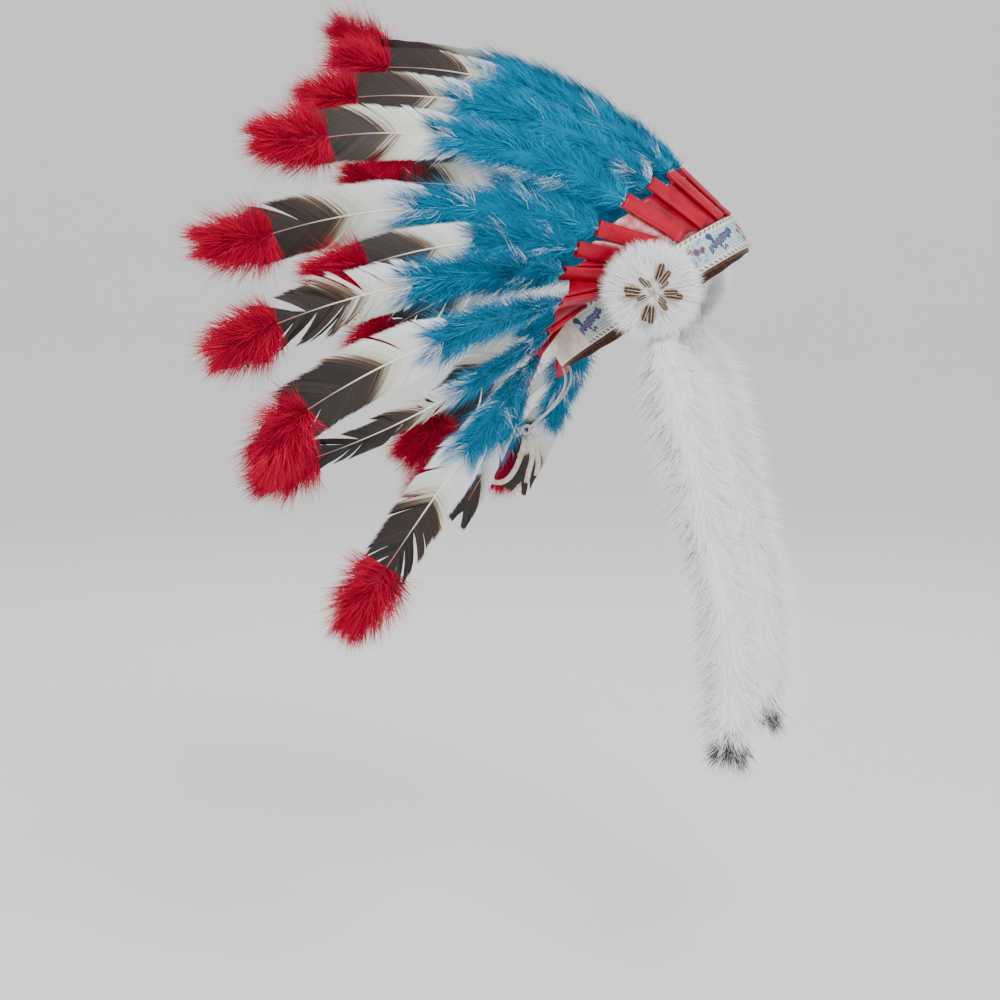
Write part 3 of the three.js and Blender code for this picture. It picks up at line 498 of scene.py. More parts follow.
def down(chance, spine, low, high, locks, per_lock, reach, lean, flat, half_width, loose=0.0025):
    """Downy barbs in locks along a spine between two distances. reach(share) is a lock's length,
    lean its angle from the spine in degrees at the lower and the upper end, and flat how much of
    its spread leaves the feather's plane. Gives points, faces and each barb's lock."""
    lock_run = low + (high - low) * (np.arange(locks) + chance.random(locks)) / locks
    share = (lock_run - low) / (high - low)
    lock_turn = chance.choice([0, pi], locks) + chance.normal(0, 0.75, locks)
    lock_lean = np.radians(np.interp(share, [0, 1], lean) + chance.normal(0, 8, locks))
    lock_reach = reach(share) * chance.uniform(0.78, 1.1, locks)
    which = np.repeat(np.arange(locks), per_lock)
    count = len(which)
    run = np.clip(lock_run[which] + chance.normal(0, 0.004, count), low, high)
    turn = lock_turn[which] + chance.normal(0, 0.34, count)
    length = lock_reach[which] * chance.uniform(0.5, 1.06, count)
    place, along, across, face = spine.at(run)
    outward = across * np.cos(turn)[:, None] + face * (np.sin(turn) * flat)[:, None]
    tip_lean = (lock_lean[which] + chance.normal(0, 0.13, count))[:, None]
    root_lean = np.minimum(tip_lean + 0.6, 1.5)
    tip_way, root_way = (along * np.cos(lean) + outward * np.sin(lean) for lean in (tip_lean, root_lean))
    end = place + length[:, None] * tip_way + chance.normal(0, loose, (count, 3))
    control = place + 0.5 * length[:, None] * root_way + chance.normal(0, loose, (count, 3)) * 0.6
    lines = bent(place, control, end, HAIR_STOPS)
    side = unit(np.cross(end - place, chance.normal(0, 1, (count, 3)) + 1.6 * face))
    sides = side[:, None] * (half_width * np.linspace(1, 0.5, HAIR_STOPS))[None, :, None]
    points, faces = ribbons(lines, sides)
    return points, faces, which


def vane_barbs(chance, spine, row, low, high, half):
    """The flat barbs of both webs, hooked together in groups that part at the edge."""
    made = []
    for side in (-1, 1):
        count = int((high - low) / BARB_PITCH)
        run = low + (high - low) * (np.arange(count) + 0.5) / count
        share = (run - low) / (high - low)
        group_size = 8 + 26 * (1 - row["ragged"])
        cuts = np.sort(chance.choice(count, max(int(count / group_size), 2), replace=False))
        group = np.searchsorted(cuts, np.arange(count))
        groups = group.max() + 1
        swing = chance.normal(0, 0.008 + 0.16 * row["ragged"] ** 1.5 * (0.5 if side > 0 else 1), groups)
        swing = (swing + 0.1 * (chance.random(groups) < 0.16))[group]
        lift = chance.normal(0, 0.02 + 0.12 * row["ragged"], groups)[group]
        width = half * np.interp(share, [0, 0.12, 0.5, 0.85, 1], [0.72, 0.92, 1, 0.92, 0.7])
        width = width * chance.uniform(1 - 0.18 * row["ragged"], 1.02, groups)[group]
        lean = np.radians(np.interp(share, [0, 0.6, 1], [52, 42, 22])) + swing
        to_the_end = (high + 0.012 - run) / np.cos(lean) + 0.004
        length = np.minimum(width / np.sin(np.clip(lean - 0.12, 0.3, 1.4)), to_the_end)
        length = length * chance.uniform(0.97, 1.02, count)
        place, along, across, face = spine.at(run)
        out = across * side
        steps = np.linspace(0, 1, BARB_STOPS)
        angle = lean[:, None] + 0.18 - 0.36 * steps[None]
        root, step = np.zeros((count, 1)), length[:, None] / (BARB_STOPS - 1)
        inner = np.cumsum(np.concatenate([root, np.cos(angle[:, 1:]) * step], 1), 1)
        outer = np.cumsum(np.concatenate([root, np.sin(angle[:, 1:]) * step], 1), 1)
        camber = -0.16 * outer**2 / half + lift[:, None] * outer
        lines = (place[:, None] + along[:, None] * inner[..., None] + out[:, None] * outer[..., None]
                 + face[:, None] * camber[..., None])
        ahead = unit(lines[:, -1:] - lines[:, :1])
        sides = unit(np.cross(np.broadcast_to(ahead, lines.shape),
                              np.broadcast_to(face[:, None], lines.shape)))
        wide = 0.85 * BARB_PITCH * np.array([1.25, 1.2, 1.1, 1.0, 0.9])
        points, faces = ribbons(lines, sides * wide[None, :, None])
        blade = (run - WRAP_LENGTH) / (spine.length - WRAP_LENGTH)
        tone = blade[:, None] + 0.04 * steps[None] ** 2 * side
        tone = tone + chance.normal(0, 0.008, groups)[group][:, None] + chance.normal(0, 0.011, (count, 1))
        tone = np.clip(0.5 + (tone - row["black"]) * 2.5, 0.01, 0.99)
        streak = 0.42 + chance.normal(0, 0.14, groups)[group] + chance.normal(0, 0.2, count)
        made.append((points, faces, barb_chart(tone, np.clip(streak, 0.01, 0.99))))
    return joined(*made)


def quill_of(spine, low, high):
    run = np.linspace(low, high, QUILL_RINGS)
    place, along, across, face = spine.at(run)
    thinning = np.linspace(0, 1, QUILL_RINGS) ** 0.8
    size = QUILL_ROOT_RADIUS + (QUILL_TIP_RADIUS - QUILL_ROOT_RADIUS) * thinning
    outline = oval(QUILL_SIDES)
    rings = (place[:, None] + across[:, None] * outline[:, :1] * size[:, None, None]
             + face[:, None] * outline[:, 1:] * size[:, None, None] * 0.7)
    points, faces = sleeve(rings)
    blade = (run - WRAP_LENGTH) / (spine.length - WRAP_LENGTH)
    round_quill = np.tile(np.arange(QUILL_SIDES) / QUILL_SIDES, QUILL_RINGS)
    return points, faces, np.stack([np.repeat(blade, QUILL_SIDES), round_quill], 1)


def soft_core(spine, stations, tone):
    """A slim body under the down, so that no light falls through it. stations are distance, half
    width and half depth. tone is darker than the down round it, as painted shade for the down's
    depth."""
    run, wide, deep = np.array(stations).T
    place, along, across, face = spine.at(run)
    outline = oval(10)
    rings = (place[:, None] + across[:, None] * (outline[:, :1] * wide[:, None, None])
             + face[:, None] * (outline[:, 1:] * deep[:, None, None]))
    points, faces = sleeve(rings)
    return points, faces, np.full((len(points), 2), (tone, 0.05))


def mixed_of(finish, share, one, other, way="MIX"):
    node = node_in(finish, "Mix", {}, data_type="RGBA", blend_type=way)
    if share is None:
        node.inputs["Factor"].default_value = 1.0
    else:
        finish.node_tree.links.new(share, node.inputs["Factor"])
    finish.node_tree.links.new(one, node.inputs[6])
    finish.node_tree.links.new(other, node.inputs[7])
    return node.outputs[2]


plume_finish, plume_shader = finish_of("turquoise_down", Roughness=0.92, Specular_IOR_Level=0.2,
                                       Sheen_Weight=0.25, Sheen_Roughness=0.5)
dye, _ = chart_of(plume_finish)
plume_shader.inputs["Sheen Tint"].default_value = srgb(140, 215, 235)
coloured(plume_finish, plume_shader, dye, [
    (0.0, (0, 62, 88)), (0.3, (0, 112, 150)), (0.62, (0, 142, 184)), (0.8, (46, 172, 208)),
    (0.86, (206, 214, 232)), (1.0, (235, 235, 245))])
relief(plume_finish, plume_shader, noise_in(plume_finish, 900), 0.0003, 0.4)

vane_finish, vane_shader = finish_of("turkey_vane", Roughness=0.55, Specular_IOR_Level=0.35)
vane_tone, vane_streak = chart_of(vane_finish)
dull_barbs = blend_of(vane_finish, vane_tone, [
    (0.0, (206, 206, 216)), (0.3, (196, 200, 190)), (0.46, (172, 168, 152)), (0.5, (88, 70, 54)),
    (0.55, (34, 26, 22)), (1.0, (16, 14, 14))])
bright_barbs = blend_of(vane_finish, vane_tone, [
    (0.0, (238, 238, 246)), (0.3, (224, 228, 218)), (0.46, (204, 200, 184)), (0.5, (122, 96, 74)),
    (0.56, (62, 48, 40)), (1.0, (47, 42, 40))])
link(vane_finish, vane_shader, "Base Color", mixed_of(vane_finish, vane_streak, dull_barbs, bright_barbs))
relief(vane_finish, vane_shader, noise_in(vane_finish, 700), 0.0003, 0.5)

quill_finish, quill_shader = finish_of("quill_horn", Roughness=0.35)
quill_share, _ = chart_of(quill_finish)
coloured(quill_finish, quill_shader, quill_share, [
    (0.0, (70, 160, 185)), (0.4, (120, 180, 190)), (0.55, (236, 234, 222)), (0.76, (224, 216, 198)),
    (0.9, (132, 114, 98)), (0.98, (196, 96, 84)), (1.0, (214, 70, 70))])
relief(quill_finish, quill_shader, noise_in(quill_finish, 1200), 0.0002, 0.4)

tuft_finish, tuft_shader = finish_of("red_marabou", Roughness=0.9, Specular_IOR_Level=0.2, Sheen_Weight=0.15,
                                     Sheen_Roughness=0.5)
tuft_tone, _ = chart_of(tuft_finish)
tuft_shader.inputs["Sheen Tint"].default_value = srgb(255, 90, 90)
coloured(tuft_finish, tuft_shader, tuft_tone, [
    (0.0, (112, 0, 34)), (0.35, (170, 0, 46)), (0.75, (204, 0, 58)), (1.0, (232, 50, 84))])
relief(tuft_finish, tuft_shader, noise_in(tuft_finish, 900), 0.0003, 0.4)


def held_in(values, low, high, spill):
    """Values that pass low or high by more than spill are drawn back towards it."""
    over = np.maximum(values - (high + spill), 0) - np.maximum((low - spill) - values, 0)
    return values - 0.8 * over


def from_front(number):
    """How many places a feather is from the one in front, and its side: 1 for the left, else -1."""
    return abs(number - FRONT_FEATHER), 1 if number >= FRONT_FEATHER else -1


for number in range(1, FEATHER_COUNT + 1):
    k, side = from_front(number)
    row = {**FEATHERS[k], **(LEFT_BENDS.get(k, {}) if side > 0 else {})}
    chance = np.random.default_rng(500 + number)
    name = f"feather_{number:02d}"
    spine = Spine(row, side)
    length, blade = spine.length, spine.length - WRAP_LENGTH
    plume_half = row["width"] ** 0.5 * PLUME_WIDTH / 2
    dyed_end = WRAP_LENGTH + row["dyed"] * blade - 0.018
    plume_low = WRAP_LENGTH + 0.0012

    def plume_reach(share):
        return plume_half * 1.8 * np.interp(share, [0, 0.08, 0.3, 0.8, 1], [0.62, 0.85, 1.02, 1.1, 0.95])

    locks = int(PLUME_LOCKS * (dyed_end - plume_low))
    points, faces, which = down(chance, spine, plume_low, dyed_end, locks, PLUME_LOCK_BARBS, plume_reach,
                                (50, 36), 0.5, PLUME_BARB)
    lock_dye = np.clip(chance.normal(0.46, 0.13, locks), 0.12, 0.78)
    fluffs = chance.choice(int(locks * 0.85), 2, replace=False)
    fluff = (np.abs(np.arange(locks)[:, None] - fluffs) < 3).any(1) & (chance.random(locks) < 0.6)
    late = (np.arange(locks) / locks > 0.92) & (chance.random(locks) < 0.55)
    lock_dye[fluff | late] = 0.92
    tone = np.clip(lock_dye[which] + chance.normal(0, 0.06, len(which)), 0, 1)
    plume = points, faces, ribbon_chart(tone)
    core_runs = np.linspace(WRAP_LENGTH + 0.001, dyed_end, 12)
    core_widths = np.r_[0.2, 0.45, [0.6] * 8, 0.45, 0.1]
    # The body under the plume is given a darker teal than the down: painted shade.
    core = soft_core(spine, [(d, plume_half * w, 0.0045 * w) for d, w in zip(core_runs, core_widths)], 0.25)
    points, faces, chart = joined(core, plume)
    placed(mesh_of(name + "_plume", points, faces, plume_finish, chart), "feather", name)

    bare_tip = k == len(FEATHERS) - 1
    vane_low, vane_high = min(dyed_end - 0.03, length - 0.05), length + 0.8 * spine.tuft * bare_tip
    points, faces, chart = vane_barbs(chance, spine, row, vane_low, vane_high,
                                      row["width"] * VANE_WIDTH / 2)
    placed(mesh_of(name + "_vane", points, faces, vane_finish, chart), "feather", name)
    points, faces, chart = quill_of(spine, WRAP_LENGTH - 0.01, length + 0.4 * spine.tuft)
    placed(mesh_of(name + "_quill", points, faces, quill_finish, chart), "feather", name)

    if bare_tip:
        continue
    tuft_half = row["tuft"] ** 0.5 * TUFT_WIDTH / 2

    def tuft_reach(share):
        return tuft_half * np.interp(share, [0, 0.2, 0.6, 1], [1.45, 1.95, 1.75, 1.2])

    tuft_locks = int(TUFT_LOCKS * row["tuft"]) + 14
    points, faces, which = down(
        chance, spine, length - 0.006, length + 0.72 * spine.tuft, tuft_locks, TUFT_LOCK_BARBS, tuft_reach,
        (80, 28), 0.85, TUFT_BARB, 0.003)
    tone = np.clip(chance.normal(0.5, 0.16, tuft_locks)[which] + chance.normal(0, 0.08, len(which)), 0, 1)
    tuft = points, faces, ribbon_chart(tone)
    swell = ((0.1, 0.6, 0.006), (0.4, 0.8, 0.008), (0.66, 0.55, 0.005))
    swell = [(length + a * spine.tuft, w * tuft_half, d) for a, w, d in swell]
    ends = (length - 0.004, 0.003, 0.003), (length + 0.8 * spine.tuft, 0.0008, 0.0008)
    # The body inside the tuft is given a dark red: painted shade.
    core = soft_core(spine, [ends[0]] + swell + [ends[1]], 0.06)
    points, faces, chart = joined(core, tuft)
    points[:, 1] = held_in(points[:, 1], cad_low.y, cad_high.y, TUFT_SPILL)
    placed(mesh_of(name + "_tuft", points, faces, tuft_finish, chart), "feather", name)

# The wraps: a strip of glossy red vinyl folded flat round each quill and stitched to the band. The
# fold presses two soft edges into it, and the cut upper end stays open round the quill.
vinyl_finish, vinyl_shader = finish_of("red_vinyl", Roughness=0.36, Specular_IOR_Level=0.2, Coat_Weight=0.1,
                                       Coat_Roughness=0.1)
coloured(vinyl_finish, vinyl_shader, noise_in(vinyl_finish, 55, 4), [
    (0.3, (144, 0, 30)), (0.5, (166, 0, 38)), (0.8, (180, 4, 44))])
creases = noise_in(vinyl_finish, 95, 3, (1.0, 1.0, 0.4))
relief(vinyl_finish, vinyl_shader, creases, 0.0012, 0.5)
WRAP_CORNERS, WRAP_RINGS = 28, 26
WRAP_INSIDE = 0.006


def fold_outline(count):
    """A flat sleeve with two pressed edges, as shares of its half width and half depth."""
    turn = np.arange(count) / count * 2 * pi
    x = np.sign(np.cos(turn)) * np.abs(np.cos(turn)) ** 0.4
    pressed = 1 - 0.28 * np.exp(-((np.abs(x) - 0.78) / 0.1) ** 2)
    y = np.sign(np.sin(turn)) * np.abs(np.sin(turn)) ** 0.5 * pressed
    return np.stack([x, y], 1)


for number in range(1, FEATHER_COUNT + 1):
    k, side = from_front(number)
    chance = np.random.default_rng(900 + number)
    foot, along, across, face = wrap_foot(FEATHERS[k])
    outline = fold_outline(WRAP_CORNERS)
    rings = []
    share = np.linspace(0, 1, WRAP_RINGS)
    waver = np.cumsum(chance.normal(0, 0.008, (WRAP_RINGS, 2)), 0)
    pinch = 1 - 0.25 * np.exp(-((share - chance.uniform(0.05, 0.2)) / 0.06) ** 2)
    for i, s in enumerate(share):
        wide = WRAP_WIDTH / 2 * (0.97 + 0.05 * s + 0.015 * sin(9 * s + number))
        deep = WRAP_DEPTH / 2 * pinch[i] * (0.92 + 0.12 * s)
        valley = np.exp(-((outline[:, 0] - 0.35 * sin(3 * s + number)) / 0.16) ** 2)
        dent = -0.0003 * valley * np.sign(outline[:, 1])
        rings.append(foot + along * WRAP_LENGTH * s
                     + across * (outline[:, :1] * wide + waver[i, 0] * 0.002)
                     + face * ((outline[:, 1] * deep + dent)[:, None] + waver[i, 1] * 0.001))
    top = rings[-1]
    middle = foot + along * WRAP_LENGTH
    rings.append(middle + (top - middle) * 0.93 - along * 0.0002)
    rings.append(middle + (top - middle) * 0.9 - along * WRAP_INSIDE)
    rings = np.array(rings) * (1, side, 1)
    points, faces = sleeve(rings)
    round_wrap = np.tile(np.arange(WRAP_CORNERS) / WRAP_CORNERS, WRAP_RINGS + 2)
    chart = np.stack([np.repeat(np.r_[share, 1, 0.9], WRAP_CORNERS), round_wrap], 1)
    placed(mesh_of(f"wrap_{number:02d}_vinyl", points, faces, vinyl_finish, chart), "vinyl",
           f"wrap_{number:02d}")

# The pleated panel: one sheet of the same red vinyl that runs behind all the wraps and is pushed
# forward into a soft pleat between each two of them. Its lower edge is stitched to the band. Two
# wide pleats on each side carry a pale pink painted highlight, the glare of the lights on the vinyl.
PANEL_HEIGHT, PLEAT_DEPTH, PANEL_SKIRT = 0.057, 0.0026, 0.005
PANEL_ROWS, PANEL_STEPS = 15, 5
# The two wide pleats on each side that carry the painted glare highlight.
GLARE_PLEATS = (3, 4)


def panel_fold(row, shift):
    foot, along, across, face = wrap_foot(row)
    start = foot - face * PANEL_BEHIND + across * shift
    lowest = BAND_TOP + GAP + PANEL_WALL / 2 * abs(face @ BAND_UP)
    rise = along @ BAND_UP
    spare = (start @ BAND_UP - lowest) / rise if rise > ON_TOP_SLOPE else 0
    return start - along * min(spare, PANEL_SKIRT), along, face


def pleat_between(one, other):
    start, along, face = ((a + b) / 2 for a, b in zip(one, other))
    return start, unit(along * PANEL_HEIGHT + unit(face) * PLEAT_DEPTH), unit(face)


def rim_of(index):
    """The indices round the edge of a grid of points, in order."""
    return np.concatenate([index[0, :-1], index[:-1, -1], index[-1, :0:-1], index[:0:-1, 0]])


def slab(grid, thickness):
    """A closed sheet of even thickness round a grid of points, row by column by three."""
    normal = unit(np.cross(np.gradient(grid, axis=1), np.gradient(grid, axis=0)))
    rows, columns = grid.shape[:2]
    points = np.concatenate([(grid + normal * thickness / 2).reshape(-1, 3),
                             (grid - normal * thickness / 2).reshape(-1, 3)])
    index = np.arange(rows * columns).reshape(rows, columns)
    face = np.stack([index[:-1, :-1], index[:-1, 1:], index[1:, 1:], index[1:, :-1]], -1).reshape(-1, 4)
    back = face[:, ::-1] + rows * columns
    rim = rim_of(index)
    after = np.roll(rim, -1)
    edge = np.stack([after, rim, rim + rows * columns, after + rows * columns], -1)
    u, v = np.meshgrid(np.linspace(0, 1, columns), np.linspace(0, 1, rows))
    chart = np.tile(np.stack([u.ravel(), v.ravel()], 1), (2, 1))
    return points, [face, back, edge], chart


half = WRAP_WIDTH / 2 + GAP + PANEL_WALL
folds = [panel_fold(FEATHERS[0], half)]
for row in FEATHERS[1:]:
    following = panel_fold(row, -half)
    folds += [pleat_between(folds[-1], following), following, panel_fold(row, half)]
flip = np.array([1, -1, 1])
folds = [tuple(v * flip for v in fold) for fold in folds[::-1]] + folds
heights = np.linspace(0, PANEL_HEIGHT, PANEL_ROWS)
lines = np.array([[start + along * h for h in heights] for start, along, face in folds])
columns = []
for i in range(len(lines) - 1):
    for t in np.arange(PANEL_STEPS) / PANEL_STEPS:
        columns.append(lines[i] * (1 - t) + lines[i + 1] * t)
columns = np.array(columns + [lines[-1]])
softened = columns.copy()
softened[1:-1] = 0.25 * columns[:-2] + 0.5 * columns[1:-1] + 0.25 * columns[2:]
grid = softened.transpose(1, 0, 2)
chance = np.random.default_rng(77)
grid = grid + chance.normal(0, 0.00012, grid.shape)
points, faces, chart = slab(grid, PANEL_WALL)
fold_at = chart[:, 0] * (len(folds) - 1)
centre_fold = (len(folds) - 1) / 2
# Where the painted glare highlight lies, and how much of it each point of the panel carries.
glare_places = [centre_fold + way * (3 * k + 1.5) for k in GLARE_PLEATS for way in (-1, 1)]
chart[:, 0] = np.max([np.clip(1.45 - np.abs(fold_at - place) * 0.8, 0, 1) for place in glare_places], 0)
panel_finish, panel_shader = finish_of("pleated_vinyl", Roughness=0.32, Specular_IOR_Level=0.3,
                                       Coat_Weight=0.15, Coat_Roughness=0.1)
glare_share, _ = chart_of(panel_finish)
panel_red = blend_of(panel_finish, noise_in(panel_finish, 55, 4),
                     [(0.3, (126, 0, 26)), (0.5, (148, 0, 34)), (0.8, (166, 4, 42))])
# A pale pink painted highlight for the glare on the vinyl, mixed into the red.
glare_pink = blend_of(panel_finish, noise_in(panel_finish, 120, 4),
                      [(0.3, (176, 70, 80)), (0.55, (214, 150, 152)), (0.75, (232, 196, 196))])
link(panel_finish, panel_shader, "Base Color", mixed_of(panel_finish, glare_share, panel_red, glare_pink))
relief(panel_finish, panel_shader, noise_in(panel_finish, 95, 3, (1.0, 1.0, 0.4)), 0.001, 0.5)
placed(mesh_of("pleated_panel_vinyl", points, faces, panel_finish, chart), "vinyl", "pleated_panel")

# The band: a strip of white cotton canvas over a stiffener, open at the back, with a sweatband of
# dark brown suede stitched inside it so that its lower edge shows. That dark lower edge is partly
# painted shade, standing for the shadow line under the band.
BASE_INNER, BASE_WALL, BASE_HEIGHT, BASE_END = 0.0015, 0.0024, 0.036, 172
SWEATBAND_WALL, SWEATBAND_LOW, SWEATBAND_HIGH = 0.0012, -0.0205, 0.012
BAND_COLUMNS = 150
cotton_finish, cotton_shader = finish_of("cotton_canvas", Roughness=0.9, Specular_IOR_Level=0.2)
cotton_along, cotton_up = chart_of(cotton_finish)
weave = node_in(cotton_finish, "CombineXYZ", {"X": cotton_along, "Y": cotton_up}).outputs["Vector"]
threads = node_in(cotton_finish, "TexChecker", {"Vector": weave, "Scale": 1.0}).outputs["Fac"]
coloured(cotton_finish, cotton_shader, noise_in(cotton_finish, 120),
         [(0.3, (206, 204, 190)), (0.7, (236, 234, 222))])
relief(cotton_finish, cotton_shader, threads, 0.0003, 0.7)
suede_finish, suede_shader = finish_of("brown_suede", Roughness=0.95, Specular_IOR_Level=0.15,
                                       Sheen_Weight=0.2)
coloured(suede_finish, suede_shader, noise_in(suede_finish, 300, 5),
         [(0.3, (52, 34, 26)), (0.7, (96, 66, 50))])
relief(suede_finish, suede_shader, noise_in(suede_finish, 1400, 4), 0.0004, 0.8)


def band_strip(name, finish, slot, inner, wall, low, high, end, wave=0.0):
    """A strip round the head opening with rounded edges."""
    around = np.linspace(-end, end, BAND_COLUMNS)
    section = [(0, 0.02), (0.15, 0), (0.85, 0), (1, 0.02), (1, 0.25), (1, 0.5), (1, 0.75), (1, 0.98),
               (0.85, 1), (0.15, 1), (0, 0.98), (0, 0.5)]
    rings = []
    for a in around:
        shift = wave * sin(radians(a) * 19) * 0.5
        rings.append([on_ring(a, inner + wall * o, low + shift + (high - low) * u) for o, u in section])
    points, faces = sleeve(np.array(rings))
    up_strip = np.tile([u * 40 for _, u in section], len(around))
    chart = np.stack([np.repeat(around * 1.7, len(section)), up_strip], 1)
    return placed(mesh_of(name + "_strip", points, faces, finish, chart), slot, name)


band_strip("base_band", cotton_finish, "cotton", BASE_INNER, BASE_WALL, -BASE_HEIGHT / 2, BASE_HEIGHT / 2,
           BASE_END)
# The sweatband's dark lower edge below the band is partly painted shade for the shadow line there.
band_strip("sweatband", suede_finish, "suede", 0.0, SWEATBAND_WALL, SWEATBAND_LOW, SWEATBAND_HIGH, BASE_END,
           0.0006)

# The trim: a ribbon woven in a beadwork pattern, birds and flowers in blue, red and green on pale
# aqua between two rope edges, stitched round the outside of the band.
TRIM_INNER, TRIM_HEIGHT, TRIM_END, TRIM_SLANT = 0.0042, 0.034, 127, 5
BEAD_ROWS, BEAD_RELIEF = 22, 0.00025
MOTIF_START, ROPE_ROWS, EDGE_ROWS = 1, 2, 3
TRIM_COLOURS = [
    (".", (170, 198, 194)), ("a", (206, 220, 212)), ("w", (232, 234, 226)), ("o", (104, 66, 58)),
    ("p", (168, 140, 130)),
    ("B", (48, 74, 122)), ("b", (104, 126, 160)), ("v", (138, 134, 156)), ("r", (182, 84, 84)),
    ("l", (124, 170, 220)), ("g", (120, 196, 152)),
]
BIRD = [
    "...BBB.....................",
    "..BBBBB....................",
    "..BBBBB...............BB...",
    "...BBBB.............BBBBB..",
    "....BBB.....BBBBBBBBBvBBBB.",
    ".....BB.bBbBbBbBbBbrbBbBBB.",
    "....bBBvBvBvBrBvBvBvBBBBB..",
    "..bBbBbBbBrBbBbBbBBBBB.....",
    "bBvBvBrBvBvBvBvBB..BBB.....",
    "bBbBBBbBBbBBBB.............",
    "BvB.BBB..BB................",
    "bBB......BB..B.............",
    "BB........B.BBB............",
    "..........BBB.B............",
    "...........B...............",
    "...........................",
]
FLOWER = [
    "..ll......gg......ll..",
    ".llll...gggg....llll..",
    "..lll..rrr..gg..lll...",
    "....l.rBBBr....ll.....",
    "......rBBBr.rr........",
    "..rr..rBBBrrBBr..rr...",
    ".rBBr..rrrrBBBBrrBBr..",
    ".rBBBr.ll.rBBBBrBBBr..",
    "..rBBr.ll..rBBrrBBr...",
    "...rr.llll..rr..rr....",
    ".gg...llll.ll....gg...",
    "gggg..rrr..lll..gggg..",
    ".gg..rBBBr.lll...gg...",
    "..ll.rBBBr..l..ll.....",
    ".llll.rrr.....llll....",
    "..ll...........ll.....",
]
SPRIG = [
    "....", ".g..", ".gg.", ".gg.", ".g..", "....", "..l.", ".lll", "..l.", "....",
    ".g..", ".gg.", ".gg.", ".g..", "....", "....",
]
pattern = [a + b + c for a, b, c in zip(BIRD, SPRIG, FLOWER)]
palette = [letter for letter, _ in TRIM_COLOURS]
trim_finish, trim_shader = finish_of("bead_ribbon", Roughness=0.42, Specular_IOR_Level=0.45)
bead_colour, _ = chart_of(trim_finish)
bead_stops = [(i / len(TRIM_COLOURS), colour) for i, (_, colour) in enumerate(TRIM_COLOURS)]
bead_tint = blend_of(trim_finish, bead_colour, bead_stops, steps=True)
speckle = blend_of(trim_finish, noise_in(trim_finish, 500),
                   [(0.3, (0.78, 0.78, 0.8, 1)), (0.7, (1, 1, 1, 1))])
link(trim_finish, trim_shader, "Base Color", mixed_of(trim_finish, None, bead_tint, speckle, "MULTIPLY"))
relief(trim_finish, trim_shader, noise_in(trim_finish, 2200), 0.0002, 0.5)

fine = np.linspace(-TRIM_END, TRIM_END, 900)
run = np.r_[0, np.cumsum(np.linalg.norm(np.diff(on_ring(fine, TRIM_OUTER, 0.0), axis=0), axis=1))]
bead = TRIM_HEIGHT / BEAD_ROWS
bead_columns = int(run[-1] / bead)
around = np.interp(np.linspace(0, run[-1], bead_columns + 1), run, fine)
up = np.linspace(-TRIM_HEIGHT / 2, TRIM_HEIGHT / 2, BEAD_ROWS + 1)
slant = np.clip(1 - (TRIM_END - np.abs(around)) / 20, 0, 1) * np.sign(around) * TRIM_SLANT


def trim_point(column_around, row_up, offset):
    leaning = column_around - np.interp(column_around, around, slant) * (0.5 - row_up / TRIM_HEIGHT)
    return on_ring(leaning, offset, row_up)


corner_around, corner_up = np.meshgrid(around, up)
outer = trim_point(corner_around, corner_up, TRIM_OUTER - BEAD_RELIEF)
middle_around, middle_up = np.meshgrid((around[1:] + around[:-1]) / 2, (up[1:] + up[:-1]) / 2)
crowns = trim_point(middle_around, middle_up, TRIM_OUTER + BEAD_RELIEF)
inner = trim_point(corner_around, corner_up, TRIM_INNER)
rows, columns = corner_around.shape
index = np.arange(rows * columns).reshape(rows, columns)
crown_index = rows * columns + np.arange((rows - 1) * (columns - 1)).reshape(rows - 1, columns - 1)
a, b, c, d = index[:-1, :-1], index[:-1, 1:], index[1:, 1:], index[1:, :-1]
bead_sides = ((a, b), (b, c), (c, d), (d, a))
beads = np.stack([np.stack([p, q, crown_index], -1) for p, q in bead_sides], -2).reshape(-1, 3)
rim = rim_of(index)
inner_start = rows * columns + crowns.shape[0] * crowns.shape[1]
inner_rim = inner_start + np.arange(len(rim))
edge = np.stack([np.roll(rim, -1), rim, inner_rim, np.roll(inner_rim, -1)], -1)
points = np.concatenate([outer.reshape(-1, 3), crowns.reshape(-1, 3), inner.reshape(-1, 3)[rim]])
letters = np.zeros((rows - 1, columns - 1), int)
for i in range(rows - 1):
    for j in range(columns - 1):
        from_edge = min(i, rows - 2 - i)
        if from_edge < ROPE_ROWS:
            letter = "opww"[(j + (i if i < 5 else -i)) % 4]
        elif from_edge < EDGE_ROWS:
            letter = "w"
        else:
            letter = pattern[rows - 2 - EDGE_ROWS - i][(j + MOTIF_START) % len(pattern[0])]
            if letter == "." and i % 2 == 0:
                letter = "a"
        letters[i, j] = palette.index(letter)
tone = (letters + 0.5) / len(TRIM_COLOURS)
bead_chart = np.stack([np.repeat(tone.ravel(), 12), np.tile(np.linspace(0.1, 0.9, 12), tone.size)], 1)
edge_chart = np.tile((1.5 / len(TRIM_COLOURS), 0.5), (edge.size, 1))
placed(mesh_of("patterned_trim_ribbon", points, [beads, edge], trim_finish,
               np.concatenate([bead_chart, edge_chart])), "braid", "patterned_trim")

